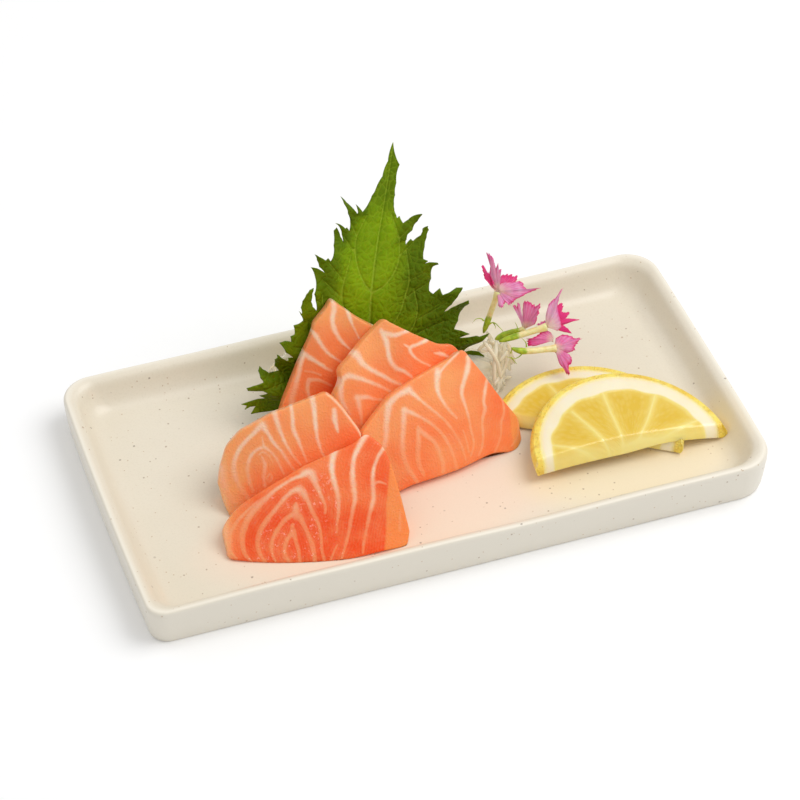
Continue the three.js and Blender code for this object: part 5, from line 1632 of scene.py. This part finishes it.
# The core is the heap's own solid, a little smaller, and hides between the shreds.
core_source = frame["nodes"]["daikon_shreds"]
core = core_source.copy()
core.data = core_source.data.copy()
core.name = "daikon_core"
core.hide_render = False
core.hide_set(False)
bpy.context.collection.objects.link(core)
in_edit_mode(core, merge_and_face_out)
apply_modifier(core, "REMESH", mode="VOXEL", voxel_size=CORE_VOXEL * MM)
apply_modifier(core, "DISPLACE", strength=-CORE_SHRINK * MM, mid_level=0.0)
apply_modifier(core, "REMESH", mode="VOXEL", voxel_size=CORE_VOXEL * MM)
core_points = points_of(core)
lobe = np.clip((core_points[:, 0] / MM - LOBE_FROM) / (LOBE_TO - LOBE_FROM), 0, 1)
core_points[:, 2] -= (core_points[:, 2] - TRAY_FLOOR * MM) * LOBE_DROP * lobe
move_points(core, core_points)
add_attribute(core, "core", np.ones(len(core_points)))
shade_smooth(core)

# A faint emission makes the shreds glow with painted light, which fills the shade between them.
radish = Finish("daikon_flesh", Roughness=0.25, IOR=1.34, Transmission_Weight=0.45,
                Subsurface_Weight=0.3, Subsurface_Scale=0.0008, Coat_Weight=0.3,
                Coat_Roughness=0.1, Emission_Strength=0.06)
radish.shader.inputs["Subsurface Radius"].default_value = (1.0, 0.95, 0.85)
tone = radish.attribute("tone")
cloud = radish.noise(380, 2, radish.object_place())
combed = radish.node("ShaderNodeTexWave", {"bands_direction": "DIAGONAL"},
                     {"Vector": radish.object_place(), "Scale": 190, "Distortion": 14, "Detail": 1.0,
                      "Detail Scale": 0.6}, "Fac")
white = radish.blend(tone * 0.6 + cloud * 0.4, paint(255, 248, 230), paint(247, 236, 208))
radish.set(Base_Color=white, Emission_Color=white,
           Normal=radish.bump(combed * radish.attribute("core") * 3 + cloud, 0.0002, 0.7))
for piece in (shreds, core):
    radish.put_on(piece)
    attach(piece, "root")
    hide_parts("daikon_shreds")


# ---------------------------------------------------------------- table and light
# A plain pale table under soft studio light: a broad lamp at the right, a small
# one in front at the left, a weak fill behind at the left and a pale sky all round.

TABLE_SIZE = 6.0
SKY_STRENGTH = 0.58

bpy.ops.mesh.primitive_plane_add(size=TABLE_SIZE)
table = start_piece("table")
paper = Finish("table_white", Roughness=0.9)
paper.set(Base_Color=paint(255, 255, 255))
paper.put_on(table)

bpy.context.scene.view_settings.view_transform = "Standard"
world = bpy.data.worlds.new("studio_air")
bpy.context.scene.world = world
world.use_nodes = True
sky = world.node_tree.nodes["Background"]
sky.inputs["Color"].default_value = (1, 1, 1, 1)
sky.inputs["Strength"].default_value = SKY_STRENGTH


def add_lamp(name, place, aim, size, power):
    bpy.ops.object.light_add(type="AREA", location=place)
    lamp = bpy.context.active_object
    lamp.name = name
    lamp.data.shape = "DISK"
    lamp.data.size = size
    lamp.data.energy = power
    lamp.rotation_euler = (Vector(aim) - Vector(place)).to_track_quat("-Z", "Y").to_euler()


add_lamp("key", (0.85, -0.2, 1.4), (0, 0.05, 0), 1.3, 14.0)
add_lamp("front", (-0.35, -0.8, 1.1), (0, 0, 0), 0.3, 0.7)
add_lamp("fill", (-0.8, 0.9, 1.2), (0, 0.1, 0), 1.2, 2.5)

CAMERA_AZIMUTH = math.radians(-19.062)
CAMERA_HEIGHT = math.radians(42.977)
CAMERA_DISTANCE = 1016.66 * MM
CAMERA_TARGET = Vector((4.111, 24.398, 0)) * MM
FOCAL_PIXELS = 3180.5
SENSOR_MM = 36.0
PHOTO_PIXELS = 800

back = Vector((math.sin(CAMERA_AZIMUTH) * math.cos(CAMERA_HEIGHT),
               -math.cos(CAMERA_AZIMUTH) * math.cos(CAMERA_HEIGHT), math.sin(CAMERA_HEIGHT)))
bpy.ops.object.camera_add(location=CAMERA_TARGET + back * CAMERA_DISTANCE)
camera = bpy.context.active_object
camera.rotation_euler = (-back).to_track_quat("-Z", "Y").to_euler()
camera.data.sensor_width = SENSOR_MM
camera.data.lens = FOCAL_PIXELS * SENSOR_MM / PHOTO_PIXELS
bpy.context.scene.camera = camera
